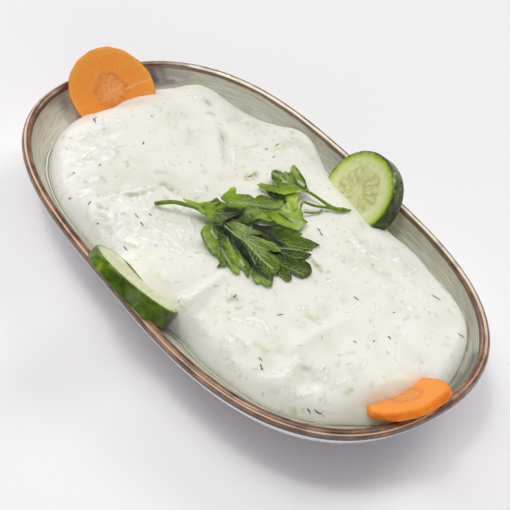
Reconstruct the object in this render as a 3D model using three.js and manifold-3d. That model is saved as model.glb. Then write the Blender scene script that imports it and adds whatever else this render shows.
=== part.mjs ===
// A dish of haydari: a long oval stoneware dish, filled with strained yogurt and
// chopped dill, with two cucumber slices, two carrot slices and two sprigs of
// flat-leaf parsley.
// Units are millimetres. +X runs along the dish, +Z is up, and the origin is the
// middle of the flat foot that the dish stands on.

import * as THREE from 'three';
import { mergeVertices } from 'three/addons/utils/BufferGeometryUtils.js';
import Module from 'manifold-3d';

const wasm = await Module();
wasm.setup();

// ---- Driving dimensions ----

// The rim's widest line is |x / half length|^END_POWER + |y / half width|^SIDE_POWER = 1.
const DISH_HALF_LENGTH = 105;
const DISH_HALF_WIDTH = 62.7;
const END_POWER = 3.11;
const SIDE_POWER = 2.33;
const DISH_HEIGHT = 28;
const WIDEST_HEIGHT = 26;
const FLOOR_HEIGHT = 5;
const SIDES = 72;

// The dish's section, as [distance in from the widest line, height].
const OUTSIDE = [
  [29.2, 0], [28.4, 1.6], [20, 4.6], [13, 9], [8, 13.8], [4.2, 18.6], [2.1, 21.5], [0.5, 24.2],
];
const LIP = [[0, WIDEST_HEIGHT], [0.45, 27.3], [1.5, DISH_HEIGHT], [2.7, 27.7], [3.4, 26.8]];
const INSIDE = [
  [4.2, 24.5], [5.5, 22], [8, 19], [12, 16], [18, 11.7], [26, 7.5], [36, FLOOR_HEIGHT],
];

const GAP = 0.35;

// The yogurt's edge: how far in it meets the wall, with [place round the dish in
// degrees, spread, amount] where it runs out further or stops shorter.
const EDGE_INSET = 11;
const EDGE_SWELLS = [
  [0, 14, -4.2], [20, 10, -0.9], [46, 22, -4.3], [66, 5, -0.9], [109, 9, -5.6], [141, 8, -3],
  [200, 14, 1.4], [255, 10, 1.5], [272, 9, -3], [287, 6, 4], [300, 16, 5.5], [313, 8, -0.9],
  [330, 20, 4], [338, 6, 1.2], [352, 7, -2.5],
];
// From its edge the yogurt rolls up steeply, then rises gently to its mound.
const EDGE_ROLL = 4.2;
const EDGE_ROLL_REACH = 4.5;
const MOUND_HEIGHT = 29.5;
const MOUND_REACH = 30;
// Where the yogurt's surface is split: insets of the underside, steps in from the edge,
// and shares of the way out from the middle.
const UNDERSIDE_INSETS = [36, 28, 21, 16, 0];
const SHOULDER_STEPS = [0.35, 1.3, 3, 5.5];
const CROWN_SHARES = [0.9, 0.79, 0.68, 0.57, 0.46, 0.35, 0.24, 0.12];

// Spoon marks and lumps: [x, y, heading in degrees, half length, half width, height].
// They fade out over this distance from the yogurt's edge.
const MARKS_FADE = 7;
const SPOON_MARKS = [
  [-62, 10, 10, 28, 27, 4.2],
  [-85, -8, 52, 11, 5, -3.6],
  [-38, 17, -30, 9, 2.4, -1.6],
  [-31.5, -27, 85, 8, 3, 1],
  [-27.5, -17, 20, 5, 3.5, -1.6],
  [-67, -24, 40, 7, 5, -0.9],
  [-56, -27, 20, 6, 4, 0.8],
  [-19, 16, 20, 5, 3.5, -1.4],
  [25, 23, 10, 8, 4, -2],
  [29, 28.5, 0, 8, 2.4, 1.1],
  [47.5, 29, 22, 6, 2.8, -1.8],
  [52, -8, 88, 24, 3.8, -1.8],
  [58, -4, 90, 24, 3.4, 1.2],
  [32, -29, 80, 6, 3.5, -1.6],
  [23.5, -37, 105, 9, 3, 1.2],
  [60, -44, 0, 5, 4, -1.2],
  [66, -34, 80, 8, 3, 1.1],
  [70, -25, 0, 4, 4, -1.4],
  [84, -20, 0, 5, 4, -1.2],
  [10, -42, 0, 18, 5, 2],
  [5, 40, 0, 16, 5, 0.8],
  [-28, 39, 10, 5, 3.5, 1.3],
  [88, -6, 84, 15, 5.5, 2.6],
];

// The slices: middle of the upper face, azimuth and lean of its normal, size.
// wobble makes the outline less round: [waves round the edge, share of radius, phase].
const CUCUMBER_BACK = {
  middle: [7, 47.6, 28.6], azimuth: -103.6, lean: 51.6, radius: 17.5, thick: 6.8,
  wobble: [[2, 0.02, 170], [3, 0.008, 20]],
};
const CUCUMBER_FRONT = {
  middle: [7.2, -51.1, 27.8], azimuth: 93.5, lean: 46, radius: 18.6, thick: 4.8,
  wobble: [[2, 0.015, 30], [3, 0.01, 80]],
};
const CARROT_BACK = {
  middle: [-88, -4.3, 30.2], azimuth: -38.3, lean: 54, radius: 16.9, thick: 3.5,
  wobble: [[1, 0.0125, 59], [2, 0.0315, 133], [3, 0.018, -61], [4, 0.015, 14]],
};
const CARROT_FRONT = {
  middle: [95, -3.1, 28.8], azimuth: 186, lean: 38, radius: 13.9, thick: 3.2,
  wobble: [[2, 0.02, 40], [5, 0.015, 0], [7, 0.01, 60]],
};

const CUCUMBER_SIDES = 36;
const CARROT_SIDES = 15;

// Chopped dill on the yogurt: strands that lie half sunk, this far in from its edge.
const DILL_STRANDS = 46;
const DILL_LENGTH = [3.2, 6];
const DILL_WIDTH = 1;
const DILL_BEND = 0.12;
const DILL_EDGE_CLEARANCE = 5;
const DILL_SLICE_CLEARANCE = 2;
const DILL_SEED = 11;

// Parsley.
const LEAF_THICKNESS = 0.6;
const LEAF_CLEARANCE = 0.55;
const STEM_RADIUS = 0.85;
const PETIOLE_RADIUS = 0.6;

// Each leaflet: heart = [x, y, lift] where its veins part, tips = [x, y, lift]
// anticlockwise, notch = how deep the lobes are cut (1 = not at all).
const LARGE_SPRIG = {
  stem: [[-17.3, -28.4, 2.2], [-17, -24.4, 3.4], [-12.4, -19, 4], [-6, -15.6, 4.2], [1.5, -13.2, 3.6]],
  leaflets: [
    {
      heart: [9.7, -12.4, 3.1], notch: 0.62,
      tips: [[1, -13.6, 3.4], [27.6, -19.7, 1.2], [35.5, -15.6, 0.4], [36.6, -8.4, 0.2],
        [36.3, 1.8, 0.4], [29.6, 6.6, 1], [22, -1.2, 3.2], [8, -7.5, 3.6]],
    },
    {
      heart: [13, 0.6, 2.4], notch: 0.66,
      tips: [[2.6, -6.2, 3.4], [21.4, -1.4, 1.4], [29.4, 5.6, 1.4], [29, 11.2, 2.4], [20.4, 8.4, 2.6]],
    },
    {
      heart: [8.2, -19.6, 2.6], notch: 0.7,
      tips: [[-0.8, -17.4, 3.4], [1.4, -22.6, 1.6], [11.4, -25, 0.8], [18.8, -26.6, 0.3],
        [25.4, -22.2, 0.4], [17.6, -17.4, 2.2], [6, -14.6, 3.4]],
    },
    {
      heart: [-6, -11.6, 4.2], notch: 0.66,
      tips: [[-12, -18.8, 4], [-1, -16.4, 3.2], [4.2, -11.6, 2.6], [0.6, -1.6, 3.4],
        [-8, -0.2, 5], [-10.9, -7.6, 4.6]],
    },
    {
      heart: [6.4, 3.4, 4.4], notch: 0.68,
      tips: [[-2.4, -5.6, 4], [7.6, -3, 3.8], [12.4, 3, 3.6], [18.7, 8.6, 3.4], [16.2, 14.6, 3.2],
        [2.4, 10.8, 4], [-2.2, 8, 4.4], [-5.4, 3.4, 4.8]],
    },
  ],
};
const SMALL_SPRIG = {
  stem: [[16.6, 35, 0.6], [13.2, 31, 1.1], [7.4, 28.4, 2.2], [1.4, 26.8, 2.6]],
  twig: [[14.4, 30.6, 1.2], [10.6, 24.6, 2.2], [7.2, 21.6, 4], [9.4, 16.8, 6.6]],
  leaflets: [
    {
      heart: [-1.4, 21.2, 2.2], notch: 0.6,
      tips: [[1.8, 28.2, 2.6], [-12.9, 31, 0.8], [-13.2, 24.6, 1], [-13.6, 20.4, 0.8],
        [-10.4, 11.8, 0.6], [-4.8, 13.4, 2.4], [2.6, 17.4, 1.2]],
    },
    {
      heart: [9.4, 11.2, 7.6], notch: 0.66,
      tips: [[9.6, 17.6, 6.8], [4, 12.4, 7.6], [4.6, 6.6, 7.2], [10.4, 7.6, 7.2], [14.4, 11.4, 7],
        [13.4, 15.6, 7.2]],
    },
  ],
};

// ---- Helpers for numbers and outlines ----

const radians = THREE.MathUtils.degToRad;
const clamp01 = (value) => THREE.MathUtils.clamp(value, 0, 1);
const mix = THREE.MathUtils.lerp;

// Distance from the middle to the outline drawn in by `inset`, in direction `heading`.
function outlineReach(inset, heading) {
  const along = Math.abs(Math.cos(heading)) / (DISH_HALF_LENGTH - inset);
  const across = Math.abs(Math.sin(heading)) / (DISH_HALF_WIDTH - inset);
  let low = 0;
  let high = DISH_HALF_LENGTH * 1.2;
  for (let step = 0; step < 40; step++) {
    const reach = (low + high) / 2;
    const level = (reach * along) ** END_POWER + (reach * across) ** SIDE_POWER;
    if (level < 1) low = reach;
    else high = reach;
  }
  return low;
}

function outlinePoint(inset, turn) {
  const across = (DISH_HALF_WIDTH - inset) * Math.sin(turn);
  const along = (DISH_HALF_LENGTH - inset) * Math.cos(turn);
  const heading = Math.atan2(across, along);
  const reach = outlineReach(inset, heading);
  return [reach * Math.cos(heading), reach * Math.sin(heading)];
}

// How far inside the widest line a point lies, and its place round the dish.
function placeInDish(x, y) {
  let low = -30;
  let high = DISH_HALF_WIDTH - 0.01;
  for (let step = 0; step < 40; step++) {
    const inset = (low + high) / 2;
    const along = Math.abs(x / (DISH_HALF_LENGTH - inset));
    const across = Math.abs(y / (DISH_HALF_WIDTH - inset));
    if (along ** END_POWER + across ** SIDE_POWER < 1) low = inset;
    else high = inset;
  }
  const turn = Math.atan2(y / (DISH_HALF_WIDTH - low), x / (DISH_HALF_LENGTH - low));
  return { inset: low, turn };
}

// Height of the dish's inner wall.
function wallHeight(inset) {
  const section = [LIP.at(-1), ...INSIDE];
  for (let i = 1; i < section.length; i++) {
    const [outer, outerHeight] = section[i - 1];
    const [inner, innerHeight] = section[i];
    if (inset <= inner) return mix(outerHeight, innerHeight, clamp01((inset - outer) / (inner - outer)));
  }
  return FLOOR_HEIGHT;
}

// Random numbers from 0 to 1 that are the same on every run.
function seededRandom(seed) {
  let state = seed;
  return () => {
    state = (state * 1664525 + 1013904223) % 4294967296;
    return state / 4294967296;
  };
}

// ---- Helpers for solids ----

function geometryFrom(position, index) {
  const geometry = new THREE.BufferGeometry();
  geometry.setAttribute('position', new THREE.Float32BufferAttribute(position, 3));
  geometry.setIndex(index);
  geometry.computeVertexNormals();
  return geometry;
}

// A closed solid that starts at a point underneath, runs out and up through the
// rings, and closes at a point on top. Rings run anticlockwise seen from above.
function ringSolid(bottomPoint, rings, topPoint) {
  const count = rings[0].length;
  const position = [bottomPoint, ...rings.flat(), topPoint].flat();
  const index = [];
  const at = (ring, side) => 1 + ring * count + (side % count);
  const top = 1 + rings.length * count;
  for (let side = 0; side < count; side++) {
    index.push(0, at(0, side + 1), at(0, side));
    for (let ring = 0; ring + 1 < rings.length; ring++) {
      index.push(at(ring, side), at(ring, side + 1), at(ring + 1, side + 1));
      index.push(at(ring, side), at(ring + 1, side + 1), at(ring + 1, side));
    }
    index.push(at(rings.length - 1, side), at(rings.length - 1, side + 1), top);
  }
  return geometryFrom(position, index);
}

// A thin sheet round a middle point, with both faces split into the same triangles.
function sheetSolid(middle, rings, thickness) {
  const count = rings[0].length;
  const points = [middle, ...rings.flat()];
  const lower = points.map(([x, y, z]) => [x, y, z - thickness / 2]);
  const upper = points.map(([x, y, z]) => [x, y, z + thickness / 2]);
  const index = [];
  const at = (ring, side) => 1 + ring * count + (side % count);
  const face = (a, b, c) => {
    index.push(a + points.length, b + points.length, c + points.length);
    index.push(a, c, b);
  };
  const last = rings.length - 1;
  for (let side = 0; side < count; side++) {
    face(0, at(0, side), at(0, side + 1));
    for (let ring = 0; ring < last; ring++) {
      face(at(ring, side), at(ring + 1, side), at(ring + 1, side + 1));
      face(at(ring, side), at(ring + 1, side + 1), at(ring, side + 1));
    }
    const edge = [at(last, side), at(last, side + 1)];
    index.push(edge[0], edge[1], edge[1] + points.length);
    index.push(edge[0], edge[1] + points.length, edge[0] + points.length);
  }
  return geometryFrom([...lower, ...upper].flat(), index);
}

// A round rod of few sides along a smooth curve through the points.
function rodSolid(points, radius, sides, steps) {
  const section = new THREE.Shape();
  for (let side = 0; side < sides; side++) {
    const turn = (2 * Math.PI * side) / sides;
    const corner = [radius * Math.cos(turn), radius * Math.sin(turn)];
    if (side === 0) section.moveTo(...corner);
    else section.lineTo(...corner);
  }
  section.closePath();
  const path = new THREE.CatmullRomCurve3(points.map((point) => new THREE.Vector3(...point)));
  return new THREE.ExtrudeGeometry(section, { steps, extrudePath: path, bevelEnabled: false });
}

function toManifold(geometry) {
  const bare = geometry.clone();
  bare.deleteAttribute('normal');
  bare.deleteAttribute('uv');
  const merged = mergeVertices(bare, 1e-4);
  return new wasm.Manifold(new wasm.Mesh({
    numProp: 3,
    vertProperties: new Float32Array(merged.attributes.position.array),
    triVerts: new Uint32Array(merged.index.array),
  }));
}

function fromManifold(solid) {
  const mesh = solid.getMesh();
  return geometryFrom(Array.from(mesh.vertProperties), Array.from(mesh.triVerts));
}

// The largest separate piece: a cut can leave loose scraps.
function largestPiece(solid) {
  const pieces = solid.decompose();
  return pieces.reduce((best, piece) => (piece.volume() > best.volume() ? piece : best));
}

function addMesh(group, name, geometry, look) {
  const mesh = new THREE.Mesh(geometry, new THREE.MeshStandardMaterial(look));
  mesh.name = name;
  group.add(mesh);
  return mesh;
}

// ---- The dish ----

function dishGeometry() {
  const rings = [...OUTSIDE, ...LIP, ...INSIDE].map(([inset, height]) => {
    const ring = [];
    for (let side = 0; side < SIDES; side++) {
      ring.push([...outlinePoint(inset, (2 * Math.PI * side) / SIDES), height]);
    }
    return ring;
  });
  return ringSolid([0, 0, 0], rings, [0, 0, FLOOR_HEIGHT]);
}

// ---- The yogurt ----

function edgeInset(turn) {
  let inset = EDGE_INSET + 0.35 * Math.sin(7 * turn + 0.6) + 0.25 * Math.sin(11 * turn + 2);
  for (const [place, spread, amount] of EDGE_SWELLS) {
    const away = THREE.MathUtils.radToDeg(turn) - place;
    const wrapped = THREE.MathUtils.euclideanModulo(away + 180, 360) - 180;
    inset += amount * Math.exp(-((wrapped / spread) ** 2));
  }
  return inset;
}

function spoonMarks(x, y) {
  let height = 0;
  for (const [markX, markY, heading, halfLength, halfWidth, amount] of SPOON_MARKS) {
    const cos = Math.cos(radians(heading));
    const sin = Math.sin(radians(heading));
    const along = ((x - markX) * cos + (y - markY) * sin) / halfLength;
    const across = ((y - markY) * cos - (x - markX) * sin) / halfWidth;
    height += amount * Math.exp(-(along ** 2) - across ** 2);
  }
  return height;
}

function yogurtHeight(x, y) {
  const { inset, turn } = placeInDish(x, y);
  const edge = edgeInset(turn);
  const fromEdge = Math.max(inset - edge, 0);
  const foot = wallHeight(edge) + GAP;
  const roll = EDGE_ROLL * Math.sqrt(1 - (1 - clamp01(fromEdge / EDGE_ROLL_REACH)) ** 2);
  const rise = 1 - (1 - clamp01(fromEdge / MOUND_REACH)) ** 2;
  const marks = spoonMarks(x, y) * clamp01(fromEdge / MARKS_FADE);
  return foot + roll + (MOUND_HEIGHT - foot - EDGE_ROLL) * rise + marks;
}

function yogurtGeometry() {
  const turns = Array.from({ length: SIDES }, (_, side) => (2 * Math.PI * side) / SIDES);
  const underside = UNDERSIDE_INSETS.map((least) => turns.map((turn) => {
    const inset = Math.max(edgeInset(turn), least);
    return [...outlinePoint(inset, turn), wallHeight(inset) + GAP];
  }));
  const shoulder = SHOULDER_STEPS.map((step) => turns.map((turn) => {
    const [x, y] = outlinePoint(edgeInset(turn) + step, turn);
    return [x, y, yogurtHeight(x, y)];
  }));
  const crown = CROWN_SHARES.map((share) => turns.map((turn) => {
    const rim = outlinePoint(edgeInset(turn) + SHOULDER_STEPS.at(-1), turn);
    const [x, y] = rim.map((value) => value * share);
    return [x, y, yogurtHeight(x, y)];
  }));
  const rings = [...underside, ...shoulder, ...crown];
  return ringSolid([0, 0, FLOOR_HEIGHT + GAP], rings, [0, 0, yogurtHeight(0, 0)]);
}

// Where an upright line meets the faceted top of the yogurt.
function surfaceProbe(geometry) {
  const mesh = new THREE.Mesh(geometry, new THREE.MeshBasicMaterial());
  const ray = new THREE.Raycaster();
  const down = new THREE.Vector3(0, 0, -1);
  return (x, y) => {
    ray.set(new THREE.Vector3(x, y, 2 * DISH_HEIGHT), down);
    const hits = ray.intersectObject(mesh);
    return hits.length > 0 ? hits[0].point.z : yogurtHeight(x, y);
  };
}

// Short strands of dill, spread evenly over the yogurt and half sunk in it.
function dillStrands(surfaceAt, isFree) {
  const random = seededRandom(DILL_SEED);
  const goldenTurn = Math.PI * (3 - Math.sqrt(5));
  const places = Math.round(1.35 * DILL_STRANDS);
  const strands = [];
  for (let place = 0; place < places; place++) {
    const turn = place * goldenTurn + 0.5 * random();
    const rim = outlinePoint(edgeInset(turn) + DILL_EDGE_CLEARANCE, turn);
    const middle = rim.map((value) => value * Math.sqrt((place + 0.5) / places));
    const heading = Math.PI * random();
    const along = [Math.cos(heading), Math.sin(heading)];
    const length = mix(...DILL_LENGTH, random() ** 2);
    const bend = DILL_BEND * length * (2 * random() - 1);
    const points = [[-length / 2, 0], [0, bend], [length / 2, 0]].map(([run, side]) => {
      const x = middle[0] + run * along[0] - side * along[1];
      const y = middle[1] + run * along[1] + side * along[0];
      return [x, y, surfaceAt(x, y)];
    });
    if (strands.length < DILL_STRANDS && points.every(([x, y]) => isFree(x, y))) {
      strands.push(rodSolid(points, DILL_WIDTH / 2, 3, 3));
    }
  }
  return strands;
}

// ---- The slices ----

// A flat slice with rounded edges. Its upper face is at z = 0 of its own frame.
function sliceGeometry({ radius, thick, wobble }, sides, grow = 0) {
  const edge = 0.14 * thick;
  const ring = (inset, height) => Array.from({ length: sides }, (_, side) => {
    const turn = (2 * Math.PI * side) / sides;
    const share = wobble.reduce((sum, [waves, amount, phase]) => (
      sum + amount * Math.cos(waves * turn - radians(phase))
    ), 1);
    const reach = radius * share - inset + grow;
    return [reach * Math.cos(turn), reach * Math.sin(turn), height];
  });
  const low = -thick - grow;
  const rings = [ring(edge, low), ring(0, low + edge), ring(0, grow - edge), ring(edge, grow)];
  return ringSolid([0, 0, low], rings, [0, 0, grow]);
}

// Leans a slice, or the space cut for it, into its place.
function leanSlice(object, slice) {
  object.position.set(...slice.middle);
  object.rotation.set(0, radians(slice.lean), radians(slice.azimuth), 'ZYX');
  object.updateMatrix();
}

function sliceSpace(slice, sides) {
  const space = new THREE.Object3D();
  leanSlice(space, slice);
  return sliceGeometry(slice, sides, GAP).applyMatrix4(space.matrix);
}

// ---- The parsley ----

// A lobed leaflet over the yogurt, with a soft wave and drooping tips.
function leafletGeometry(leaflet, surfaceAt) {
  const [heartX, heartY, heartLift] = leaflet.heart;
  const lobes = leaflet.tips.map(([x, y, lift]) => ({
    turn: Math.atan2(y - heartY, x - heartX), reach: Math.hypot(x - heartX, y - heartY), lift,
  }));
  const directions = [];
  lobes.forEach((lobe, i) => {
    const next = lobes[(i + 1) % lobes.length];
    const gap = THREE.MathUtils.euclideanModulo(next.turn - lobe.turn, 2 * Math.PI);
    const notchReach = leaflet.notch * Math.min(lobe.reach, next.reach);
    for (const share of [0, 0.28, 0.5, 0.72]) {
      const near = share <= 0.5 ? lobe : next;
      const fromTip = 2 * Math.min(share, 1 - share);
      directions.push({
        turn: lobe.turn + share * gap,
        reach: mix(notchReach, near.reach, Math.sqrt(1 - fromTip ** 2)),
        lift: mix(lobe.lift, next.lift, share),
      });
    }
  });
  const place = (direction, share) => {
    const x = heartX + share * direction.reach * Math.cos(direction.turn);
    const y = heartY + share * direction.reach * Math.sin(direction.turn);
    const wave = 0.35 * Math.sin(5 * direction.turn) * share;
    const lift = Math.max(mix(heartLift, direction.lift, share ** 1.4) + wave, 0);
    return [x, y, surfaceAt(x, y) + LEAF_CLEARANCE + LEAF_THICKNESS / 2 + lift];
  };
  const middle = place(directions[0], 0);
  const rings = [0.48, 1].map((share) => directions.map((direction) => place(direction, share)));
  return sheetSolid(middle, rings, LEAF_THICKNESS);
}

function stemGeometry(points, radius, surfaceAt) {
  const raised = points.map(([x, y, lift]) => [x, y, surfaceAt(x, y) + LEAF_CLEARANCE + radius + lift]);
  return rodSolid(raised, radius, 6, 3 * points.length);
}

function sprigSolid(sprig, surfaceAt) {
  const pieces = sprig.leaflets.map((leaflet) => leafletGeometry(leaflet, surfaceAt));
  pieces.push(stemGeometry(sprig.stem, STEM_RADIUS, surfaceAt));
  if (sprig.twig) pieces.push(stemGeometry(sprig.twig, PETIOLE_RADIUS, surfaceAt));
  return largestPiece(pieces.map(toManifold).reduce((whole, piece) => whole.add(piece)));
}

// ---- The whole ----

const dishOfHaydari = new THREE.Group();

addMesh(dishOfHaydari, 'dish', dishGeometry(), { color: 0xa8a690, roughness: 0.3, metalness: 0 });

const slices = [
  { name: 'cucumber_slice_back', slice: CUCUMBER_BACK, sides: CUCUMBER_SIDES, color: 0xb9c97a },
  { name: 'cucumber_slice_front', slice: CUCUMBER_FRONT, sides: CUCUMBER_SIDES, color: 0xb9c97a },
  { name: 'carrot_slice_back', slice: CARROT_BACK, sides: CARROT_SIDES, color: 0xea8a38 },
  { name: 'carrot_slice_front', slice: CARROT_FRONT, sides: CARROT_SIDES, color: 0xea8a38 },
];

let yogurt = toManifold(yogurtGeometry());
for (const { slice, sides } of slices) {
  yogurt = yogurt.subtract(toManifold(sliceSpace(slice, sides)));
}
yogurt = largestPiece(yogurt);
const surfaceAt = surfaceProbe(fromManifold(yogurt));

const largeSprig = sprigSolid(LARGE_SPRIG, surfaceAt);
const smallSprig = sprigSolid(SMALL_SPRIG, surfaceAt);

// Dill keeps off the slices and the parsley.
const garnish = [largeSprig, smallSprig].map((solid) => new THREE.Mesh(fromManifold(solid)));
const garnishRay = new THREE.Raycaster();
function isFree(x, y) {
  const nearSlice = slices.some(({ slice }) => {
    const [middleX, middleY] = slice.middle;
    return Math.hypot(x - middleX, y - middleY) < slice.radius + DILL_SLICE_CLEARANCE;
  });
  if (nearSlice) return false;
  garnishRay.set(new THREE.Vector3(x, y, 2 * DISH_HEIGHT), new THREE.Vector3(0, 0, -1));
  return garnishRay.intersectObjects(garnish).length === 0;
}

for (const strand of dillStrands(surfaceAt, isFree)) {
  yogurt = yogurt.add(toManifold(strand));
}
const yogurtLook = { color: 0xecece2, roughness: 0.35, metalness: 0 };
addMesh(dishOfHaydari, 'haydari', fromManifold(yogurt), yogurtLook);

for (const { name, slice, sides, color } of slices) {
  const look = { color, roughness: 0.4, metalness: 0 };
  leanSlice(addMesh(dishOfHaydari, name, sliceGeometry(slice, sides), look), slice);
}

const leafLook = { color: 0x4d7a28, roughness: 0.5, metalness: 0 };
addMesh(dishOfHaydari, 'parsley_large', fromManifold(largeSprig), leafLook);
addMesh(dishOfHaydari, 'parsley_small', fromManifold(smallSprig), leafLook);

export default dishOfHaydari;
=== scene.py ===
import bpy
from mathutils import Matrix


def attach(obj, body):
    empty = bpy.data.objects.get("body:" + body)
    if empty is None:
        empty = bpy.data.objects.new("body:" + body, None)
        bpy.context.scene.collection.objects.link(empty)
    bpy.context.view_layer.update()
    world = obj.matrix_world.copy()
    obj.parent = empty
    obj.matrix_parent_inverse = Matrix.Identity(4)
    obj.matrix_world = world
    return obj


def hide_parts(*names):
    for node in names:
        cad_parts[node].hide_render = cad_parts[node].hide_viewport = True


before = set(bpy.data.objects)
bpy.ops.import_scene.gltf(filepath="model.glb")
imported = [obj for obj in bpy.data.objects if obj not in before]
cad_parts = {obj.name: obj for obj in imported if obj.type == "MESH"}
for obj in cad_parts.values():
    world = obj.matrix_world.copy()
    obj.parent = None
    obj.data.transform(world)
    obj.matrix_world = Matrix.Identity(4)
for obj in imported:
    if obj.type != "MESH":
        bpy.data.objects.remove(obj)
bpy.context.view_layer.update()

import math

import bpy
import numpy as np
from mathutils import Matrix, Vector
from mathutils.geometry import delaunay_2d_cdt

# Looks of a dish of haydari. Sizes are in millimetres here and become metres when
# a mesh is made. The dish, yogurt and slices follow the part's own dimensions.

MM = 0.001

# ---- The photograph's camera ----

IMAGE_SIDE = 510
FOCAL_PIXELS = 1300
SENSOR_WIDTH = 36
VIEW_AZIMUTH = 46.472
VIEW_ELEVATION = 42.219
VIEW_ROLL = 11
VIEW_DISTANCE = 466.65
VIEW_TARGET = np.array([15.01, -6.31, 26.0])

# ---- The part's dimensions ----

DISH_HALF_LENGTH = 105
DISH_HALF_WIDTH = 62.7
END_POWER = 3.11
SIDE_POWER = 2.33
FLOOR_HEIGHT = 5
FLOOR_INSET = 44
# Sections of the dish as (inset from the rim's outline, height).
FOOT_RECESS = [(44, 1), (35.2, 0.8), (34, 0)]
OUTSIDE = [(29.2, 0), (28.4, 1.6), (20, 4.6), (13, 9), (8, 13.8), (4.2, 18.6), (2.1, 21.5), (0.5, 24.2)]
LIP = [(0, 26), (0.45, 27.3), (1.5, 28), (2.7, 27.7), (3.4, 26.8)]
INSIDE = [(4.2, 24.5), (5.5, 22), (8, 19), (12, 16), (18, 11.7), (26, 7.5), (36, FLOOR_HEIGHT)]

# The yogurt's edge: how far in it lies, with ripples as (depth, waves, phase) and
# swells as (degrees round the dish, spread, depth).
EDGE_INSET = 11
EDGE_RIPPLES = [(0.35, 7, 0.6), (0.25, 11, 2)]
EDGE_SWELLS = [
    (0, 14, -4.2), (20, 10, -0.9), (46, 22, -4.3), (66, 5, -0.9), (109, 9, -5.6), (141, 8, -3),
    (200, 14, 1.4), (255, 10, 1.5), (272, 9, -3), (287, 6, 4), (300, 16, 5.5), (313, 8, -0.9),
    (330, 20, 4), (338, 6, 1.2), (352, 7, -2.5),
]
EDGE_ROLL = 4.2
EDGE_ROLL_REACH = 4.5
MOUND_HEIGHT = 29.5
MOUND_REACH = 30
MARKS_FADE = 7
# Spoon marks: x, y, heading in degrees, half length, half width, height.
SPOON_MARKS = [
    (-62, 10, 10, 28, 27, 4.2), (-85, -8, 52, 11, 5, -3.6), (-38, 17, -30, 9, 2.4, -1.6),
    (-31.5, -27, 85, 8, 3, 1), (-27.5, -17, 20, 5, 3.5, -1.6), (-67, -24, 40, 7, 5, -0.9),
    (-56, -27, 20, 6, 4, 0.8), (-19, 16, 20, 5, 3.5, -1.4), (25, 23, 10, 8, 4, -2),
    (29, 28.5, 0, 8, 2.4, 1.1), (47.5, 29, 22, 6, 2.8, -1.8), (52, -8, 88, 24, 3.8, -1.8),
    (58, -4, 90, 24, 3.4, 1.2), (32, -29, 80, 6, 3.5, -1.6), (23.5, -37, 105, 9, 3, 1.2),
    (60, -44, 0, 5, 4, -1.2), (66, -34, 80, 8, 3, 1.1), (70, -25, 0, 4, 4, -1.4),
    (84, -20, 0, 5, 4, -1.2), (10, -42, 0, 18, 5, 2), (5, 40, 0, 16, 5, 0.8),
    (-28, 39, 10, 5, 3.5, 1.3), (88, -6, 84, 15, 5.5, 2.6),
]

# The slices: middle of the upper face, azimuth and lean of its normal, size, wobble
# of the outline as (waves, share of radius, phase), rounding of the edge as a share
# of the thickness, how far the skin reaches over the face, bumps on the side, extra
# thickness as (heading, share), strength of the seeds' relief and number of facets.
# tint marks a slice painted as lit: a painted rim light on the back carrot, a paler face and brighter peel on the front
# cucumber.
PLAIN_SLICE = dict(edge=0.13, skin_reach=0.015, bumps=0, wedge=(0, 0), tint=0, seeds=0, facets=0)
SLICES = {
    "cucumber_slice_back": PLAIN_SLICE | dict(
        middle=(7, 47.6, 28.6), azimuth=-103.6, lean=51.6, radius=17.5, thick=6.8, seeds=1,
        wobble=[(2, 0.02, 170), (3, 0.008, 20)]),
    "cucumber_slice_front": PLAIN_SLICE | dict(
        middle=(7.2, -51.1, 27.8), azimuth=93.5, lean=46, radius=18.6, thick=4.8, seeds=0.25,
        wobble=[(2, 0.015, 30), (3, 0.01, 80)], wedge=(-90, 0.5), tint=1),
    "carrot_slice_back": PLAIN_SLICE | dict(
        middle=(-88, -4.3, 30.2), azimuth=-38.3, lean=54, radius=16.9, thick=3.5, tint=1, facets=15,
        wobble=[(1, 0.0125, 59), (2, 0.0315, 133), (3, 0.018, -61), (4, 0.015, 14)], bumps=0.12),
    "carrot_slice_front": PLAIN_SLICE | dict(
        middle=(95, -3.1, 28.8), azimuth=186, lean=38, radius=13.9, thick=3.2, facets=15,
        wobble=[(2, 0.02, 40), (5, 0.015, 0), (7, 0.01, 60)], edge=0.34, skin_reach=0.2, bumps=0.3),
}

# ---- Finer relief of the yogurt, placed by pixels of the photograph ----

# Noise over the whole surface: (height, size, seed).
RELIEF_WAVES = [(0.35, 16, 1), (0.3, 8, 2), (0.04, 2.2, 6)]
# Lumps, which are lower by this share where the yogurt isn't wet.
SLANTED_LUMPS = (0.4, 6.5, 4)
ROUND_LUMPS = (0.16, 3.1, 5)
DRY_LUMPS = 0.25
LUMP_SLANT = 0.7
# The relief grows between these distances from the yogurt's edge.
RELIEF_GROWS = (0.6, 5)
# Folds: the surface steps up on the left of the line, as one walks along it.
# (points, height, softness of the step, reach of the raised side)
FOLD_LINES = [
    ([(177, 194), (165, 187.5), (152, 185), (135, 190), (117, 194)], 1.5, 0.4, 6),
    ([(222, 166), (226, 156), (226, 144), (221, 133)], 0.9, 0.8, 6),
]
# Places where the yogurt lies higher or lower: (pixel, radius, height).
LEVELS = [((108, 112), 6, 1.1), ((393, 400), 6, -1.5)]
# Thick ridges that the spoon has lifted: (pixel line, height, half width).
RIDGES = [
    ([(183, 304), (196, 296), (210, 286), (222, 276)], 1.1, 2),
    ([(119, 195), (134, 193.5), (150, 189.5), (164, 186)], 0.6, 0.9),
    ([(300, 346), (328, 328), (358, 306)], 0.5, 2.2), ([(262, 382), (280, 379), (297, 366)], 0.6, 1.8),
]
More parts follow.
